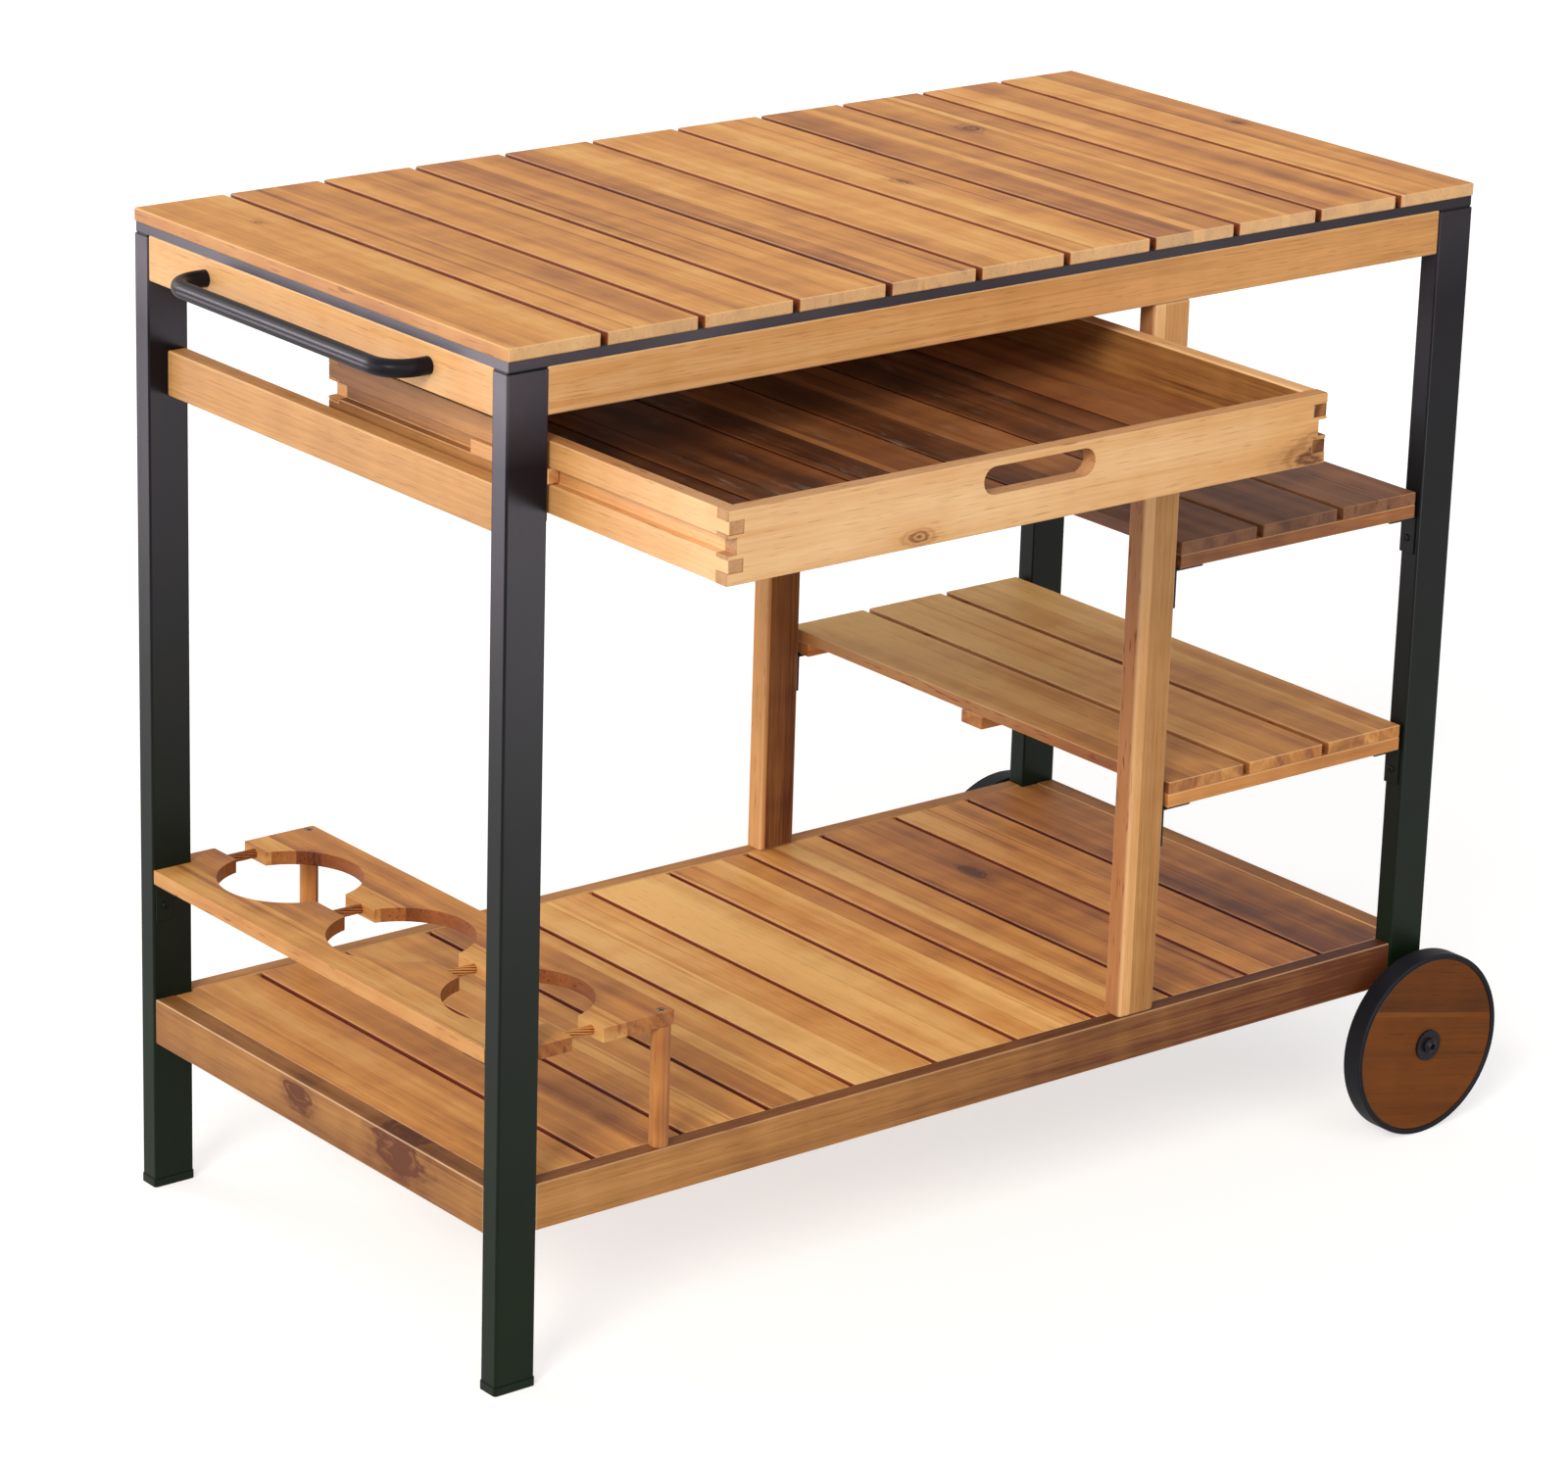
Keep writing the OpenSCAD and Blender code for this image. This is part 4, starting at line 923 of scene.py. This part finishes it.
class CART_OT_worktop(Operator):
    """Dress the worktop's boards"""

    bl_idname = "cart.worktop"
    bl_label = "Worktop boards"

    def execute(self, context):
        for number, spec in enumerate(WORKTOP_BOARDS, start=1):
            node = f"worktop_slat_{number:02d}"
            name = f"worktop_board_{number:02d}"
            # Painted shade on the sides that face a gap; the two outer sides get less
            gap_shade = (0.9 if number > 1 else 0.3, 0.9 if number < len(WORKTOP_BOARDS) else 0.3)
            spec = {"ends": 0.12, "pale_ends": 0.9, **spec}
            wooden(node, name, MATERIALS["boards"], [spec], edge=2 * MM, sides=gap_shade)
        return {"FINISHED"}


class CART_OT_rails(Operator):
    """Dress the aprons, rails, bearers, posts and tray runners"""

    bl_idname = "cart.rails"
    bl_label = "Rails and posts"

    def execute(self, context):
        for node, (spec, edge) in RAILS.items():
            wooden(node, f"{node}_wood", MATERIALS["frame"], [spec], edge=edge * MM)
        return {"FINISHED"}


class CART_OT_tray(Operator):
    """Dress the tray"""

    bl_idname = "cart.tray"
    bl_label = "Tray"

    def execute(self, context):
        panels = MATERIALS["frame"]
        for side, spec in TRAY_PANELS.items():
            wooden(f"tray_panel_{side}", f"tray_board_{side}", panels, [spec])
        floor = MATERIALS["tray_floor"]
        wooden(
            "tray_floor_slats", "tray_floor_boards", floor, TRAY_FLOOR_BOARDS,
            sides=(0.9, 0.9),
        )
        battens = [board((1.0, 0.0))]
        wooden("tray_floor_battens", "tray_floor_battens_wood", floor, battens)
        return {"FINISHED"}


class CART_OT_shelves(Operator):
    """Dress the bottom shelf and the side shelves"""

    bl_idname = "cart.shelves"
    bl_label = "Shelves"

    def execute(self, context):
        edge = 1.6 * MM
        # The last number is painted shade on the sides of the boards that face a gap
        for shelf, material, specs, slot, gap in (
            ("bottom", "boards", BOTTOM_BOARDS, "acacia_top", 1.1),
            ("middle", "boards", MIDDLE_SHELF_BOARDS, "acacia_top", 0.6),
            ("upper", "upper_shelf", UPPER_SHELF_BOARDS, "acacia_shelf", 0),
        ):
            wooden(
                f"{shelf}_shelf_slats", f"{shelf}_shelf_boards", MATERIALS[material], specs,
                edge=edge, sides=(gap, gap),
            )
        battens = [board((1.0, -0.2)), board((1.0, -0.65))]
        wooden(
            "side_shelf_battens", "side_shelf_battens_wood", MATERIALS["boards"], battens
        )
        return {"FINISHED"}


class CART_OT_bottle_holder(Operator):
    """Dress the bottle holder's boards, dowels and screws"""

    bl_idname = "cart.bottle_holder"
    bl_label = "Bottle holder"

    def execute(self, context):
        boards = MATERIALS["boards"]
        for side, spec in HOLDER_BOARDS.items():
            wooden(
                f"holder_board_{side}", f"holder_wood_{side}", boards, [spec],
                edge=1.5 * MM,
            )
        posts = [board((1.0, -0.1), rub=0)]
        wooden("holder_support_dowels", "holder_posts", boards, posts)
        pins = fluted_pins("holder_bridge_dowels", "holder_pins")
        specs = [board((1.0, tone), flutes=6, sides=(0, 0)) for tone in (0.4, 0.2, -0.4, -0.6)]
        grain_boards(pins, specs, (0, 1, 2))
        finish_piece(pins, "holder_bridge_dowels", "root", boards)
        finish_piece(crossed_screws(), "holder_screws", "root", MATERIALS["screw"])
        return {"FINISHED"}


class CART_OT_steel(Operator):
    """Finish the legs, the top frame, the brackets and the push handle"""

    bl_idname = "cart.steel"
    bl_label = "Steel"

    def execute(self, context):
        legs = ("leg_front_left", "leg_back_left", "leg_front_right", "leg_back_right")
        for node in (*legs, "top_frame"):
            dress_node(node, "coat")
        dress_node("push_handle", "handle")
        brackets = merged_copy("angle_brackets", "bracket_plates")
        screws = join(bracket_screws(solids_of(brackets), brackets), "bracket_screws")
        soften(brackets, 0.5 * MM)
        finish_piece(brackets, "angle_brackets", "root", MATERIALS["coat"])
        screws.data.materials.append(MATERIALS["coat"])
        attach(screws, "root")
        for node in ("leg_bottom_plugs", "leg_top_caps"):
            dress_node(node, "plastic")
        return {"FINISHED"}


class CART_OT_wheels(Operator):
    """Dress the wheels and their axles"""

    bl_idname = "cart.wheels"
    bl_label = "Wheels"

    def execute(self, context):
        for side, turn in (("front", -12.5), ("back", 40)):
            disc = board((0.66, 0.0), (0.03, 0.3), (0.31, -0.3), ends=0.0, turn=turn)
            wooden(
                f"wheel_{side}_disc", f"wheel_{side}_wood", MATERIALS["wheel"], [disc],
                axes=(0, 2, 1),
            )
            tyre = merged_copy(f"wheel_{side}_tyre", f"wheel_{side}_rubber")
            soften(tyre, 1.2 * MM)
            finish_piece(tyre, f"wheel_{side}_tyre", f"wheel_{side}", MATERIALS["rubber"])
            dress_node(f"wheel_{side}_bush", "plastic")
        for node in ("axle_bolts", "axle_washers"):
            dress_node(node, "bolt")
        dress_node("axle_spacers", "plastic")
        dress_node("axle_nuts", "zinc")
        return {"FINISHED"}


# The studio


LOOKED_AT = Vector((-32.5, 86.9, 389.1)) * MM


def photo_camera(studio):
    """A long lens, turned as the photograph was taken."""
    turn, height, roll = studio.camera_turn, studio.camera_height, studio.camera_roll
    back = Vector((math.sin(turn) * math.cos(height), -math.cos(turn) * math.cos(height), math.sin(height)))
    right = Vector((math.cos(turn), math.sin(turn), 0))
    up = back.cross(right)
    side = right * math.cos(roll) + up * math.sin(roll)
    top = up * math.cos(roll) - right * math.sin(roll)
    place = LOOKED_AT + back * studio.camera_distance
    bpy.ops.object.camera_add()
    camera = bpy.context.object
    camera.matrix_world = Matrix.Translation(place) @ Matrix((side, top, back)).transposed().to_4x4()
    camera.data.sensor_fit = "HORIZONTAL"
    camera.data.sensor_width = 36
    camera.data.lens = studio.lens
    camera.data.clip_end = 60
    bpy.context.scene.camera = camera


def aim(light, name, place, target, tint):
    """Names and tints a light and turns it towards its target."""
    light.name = name
    light.data.color = linear(tint)
    light.rotation_euler = (Vector(target) - Vector(place)).to_track_quat("-Z", "Y").to_euler()


def far_light(name, direction, strength, spread, tint):
    """A wide, distant light, the same over the whole cart."""
    place = Vector(direction) * 4
    bpy.ops.object.light_add(type="SUN", location=place)
    light = bpy.context.object
    light.data.energy = strength
    light.data.angle = math.radians(spread)
    aim(light, name, place, (0, 0, 0), tint)


def softbox(name, place, target, size, power, tint):
    """A soft box that only shows as sheen on gloss and coats, and doesn't light the wood."""
    bpy.ops.object.light_add(type="AREA", location=place)
    light = bpy.context.object
    light.data.shape = "RECTANGLE"
    light.data.size, light.data.size_y = size
    light.data.energy = power
    light.visible_diffuse = False
    aim(light, name, place, target, tint)


def seen_directly(tree):
    """1 where the camera, a gloss or a glass looks, 0 where light only bounces."""
    rays = add(tree, "LightPath")
    seen = rays["Is Camera Ray"]
    for other in ("Is Glossy Ray", "Is Transmission Ray"):
        seen = add(tree, "Math", (seen, rays[other]), operation="MAXIMUM")[0]
    return seen


def floor_material(studio):
    """Pale paper that takes the cart's shadow, and is whitened only where the camera or a gloss sees it."""
    material = new_material("pale backdrop paper")
    tree = material.node_tree
    spot = add(tree, "TexCoord")["Object"]
    cloud = add(tree, "TexNoise", {"Vector": spot, "Scale": 1.5})["Fac"]
    tint = studio.floor_colour
    dim = rgba([c * 0.99 for c in tint])
    body = add(tree, "Mix", {0: cloud, 6: rgba(tint), 7: dim}, data_type="RGBA")[2]
    glow = add(tree, "Math", (seen_directly(tree), studio.floor_glow), operation="MULTIPLY")[0]
    inputs = {
        "Base Color": body,
        "Roughness": 0.9,
        "Specular IOR Level": 0.1,
        "Emission Color": (1, 1, 1, 1),
        "Emission Strength": glow,
    }
    return set_surface(material, inputs)


class CART_OT_stage(Operator):
    """Set up the floor, the lights, the sky and the camera"""

    bl_idname = "cart.stage"
    bl_label = "Studio"

    def execute(self, context):
        studio = settings("cart_studio")
        bpy.ops.mesh.primitive_plane_add(size=60)
        floor = context.object
        floor.name = "floor"
        floor.data.materials.append(floor_material(studio))
        world = bpy.data.worlds.new("studio sky")
        context.scene.world = world
        world.use_nodes = True
        tree = world.node_tree
        tree.nodes.clear()
        values = {"Value": seen_directly(tree), "To Min": studio.sky_strength, "To Max": 1.0}
        strength = add(tree, "MapRange", values)[0]
        sky = add(tree, "Background", {"Color": (1, 1, 1, 1), "Strength": strength})[0]
        add(tree, "OutputWorld", {"Surface": sky})
        power = studio.softbox_power
        far_light("key", (-0.75, -0.42, 0.52), studio.key_light, 22, "#FFF9F0")
        far_light("front", (-0.1, -0.9, 0.4), studio.front_light, 50, "#FBFBFF")
        far_light("side", (-0.95, 0.25, 0.1), studio.side_light, 40, "#F2F8FF")
        softbox("sheen", (-1.76, 1.3, 0.36), (-0.55, -0.05, 0.7), (0.95, 0.45), 0.84 * power, "#FAEEFC")
        softbox("bar sheen", (-1.7, 1.57, 1.44), (-0.52, 0.1, 0.79), (0.8, 0.35), 1.2 * power, "#FAEEFC")
        far_light("fill", (-0.3, 0.88, 0.38), studio.fill_light, 40, "#FFFAF2")
        softbox("low sheen", (0.55, -1.75, 0.22), (-0.45, -0.2, 0.6), (0.9, 0.4), 0.7 * power, "#FBF2FB")
        photo_camera(studio)
        return {"FINISHED"}


class CART_PT_panel(Panel):
    """Lists the cart's groups in the sidebar"""

    bl_idname = "CART_PT_panel"
    bl_label = "Bar cart"
    bl_space_type = "VIEW_3D"
    bl_region_type = "UI"
    bl_category = "Bar cart"

    def draw(self, context):
        for step in STEPS:
            self.layout.operator(step.bl_idname)
        for group in ("cart_wood", "cart_metal", "cart_studio"):
            box = self.layout.box()
            for name in settings(group).__annotations__:
                box.prop(settings(group), name)


STEPS = (
    CART_OT_worktop, CART_OT_rails, CART_OT_tray, CART_OT_shelves, CART_OT_bottle_holder,
    CART_OT_steel, CART_OT_wheels, CART_OT_stage,
)
GROUPS = {"cart_wood": CartWood, "cart_metal": CartMetal, "cart_studio": CartStudio}


def register():
    for kind in (*GROUPS.values(), *STEPS, CART_PT_panel):
        bpy.utils.register_class(kind)
    for name, group in GROUPS.items():
        setattr(bpy.types.Scene, name, PointerProperty(type=group))


def unregister():
    for name in GROUPS:
        delattr(bpy.types.Scene, name)
    for kind in (CART_PT_panel, *reversed(STEPS), *reversed(GROUPS.values())):
        bpy.utils.unregister_class(kind)


def main():
    register()
    make_materials()
    bpy.ops.cart.worktop()
    bpy.ops.cart.rails()
    bpy.ops.cart.tray()
    bpy.ops.cart.shelves()
    bpy.ops.cart.bottle_holder()
    bpy.ops.cart.steel()
    bpy.ops.cart.wheels()
    bpy.ops.cart.stage()
    bpy.context.scene.view_settings.view_transform = "Standard"


if __name__ == "__main__":
    main()
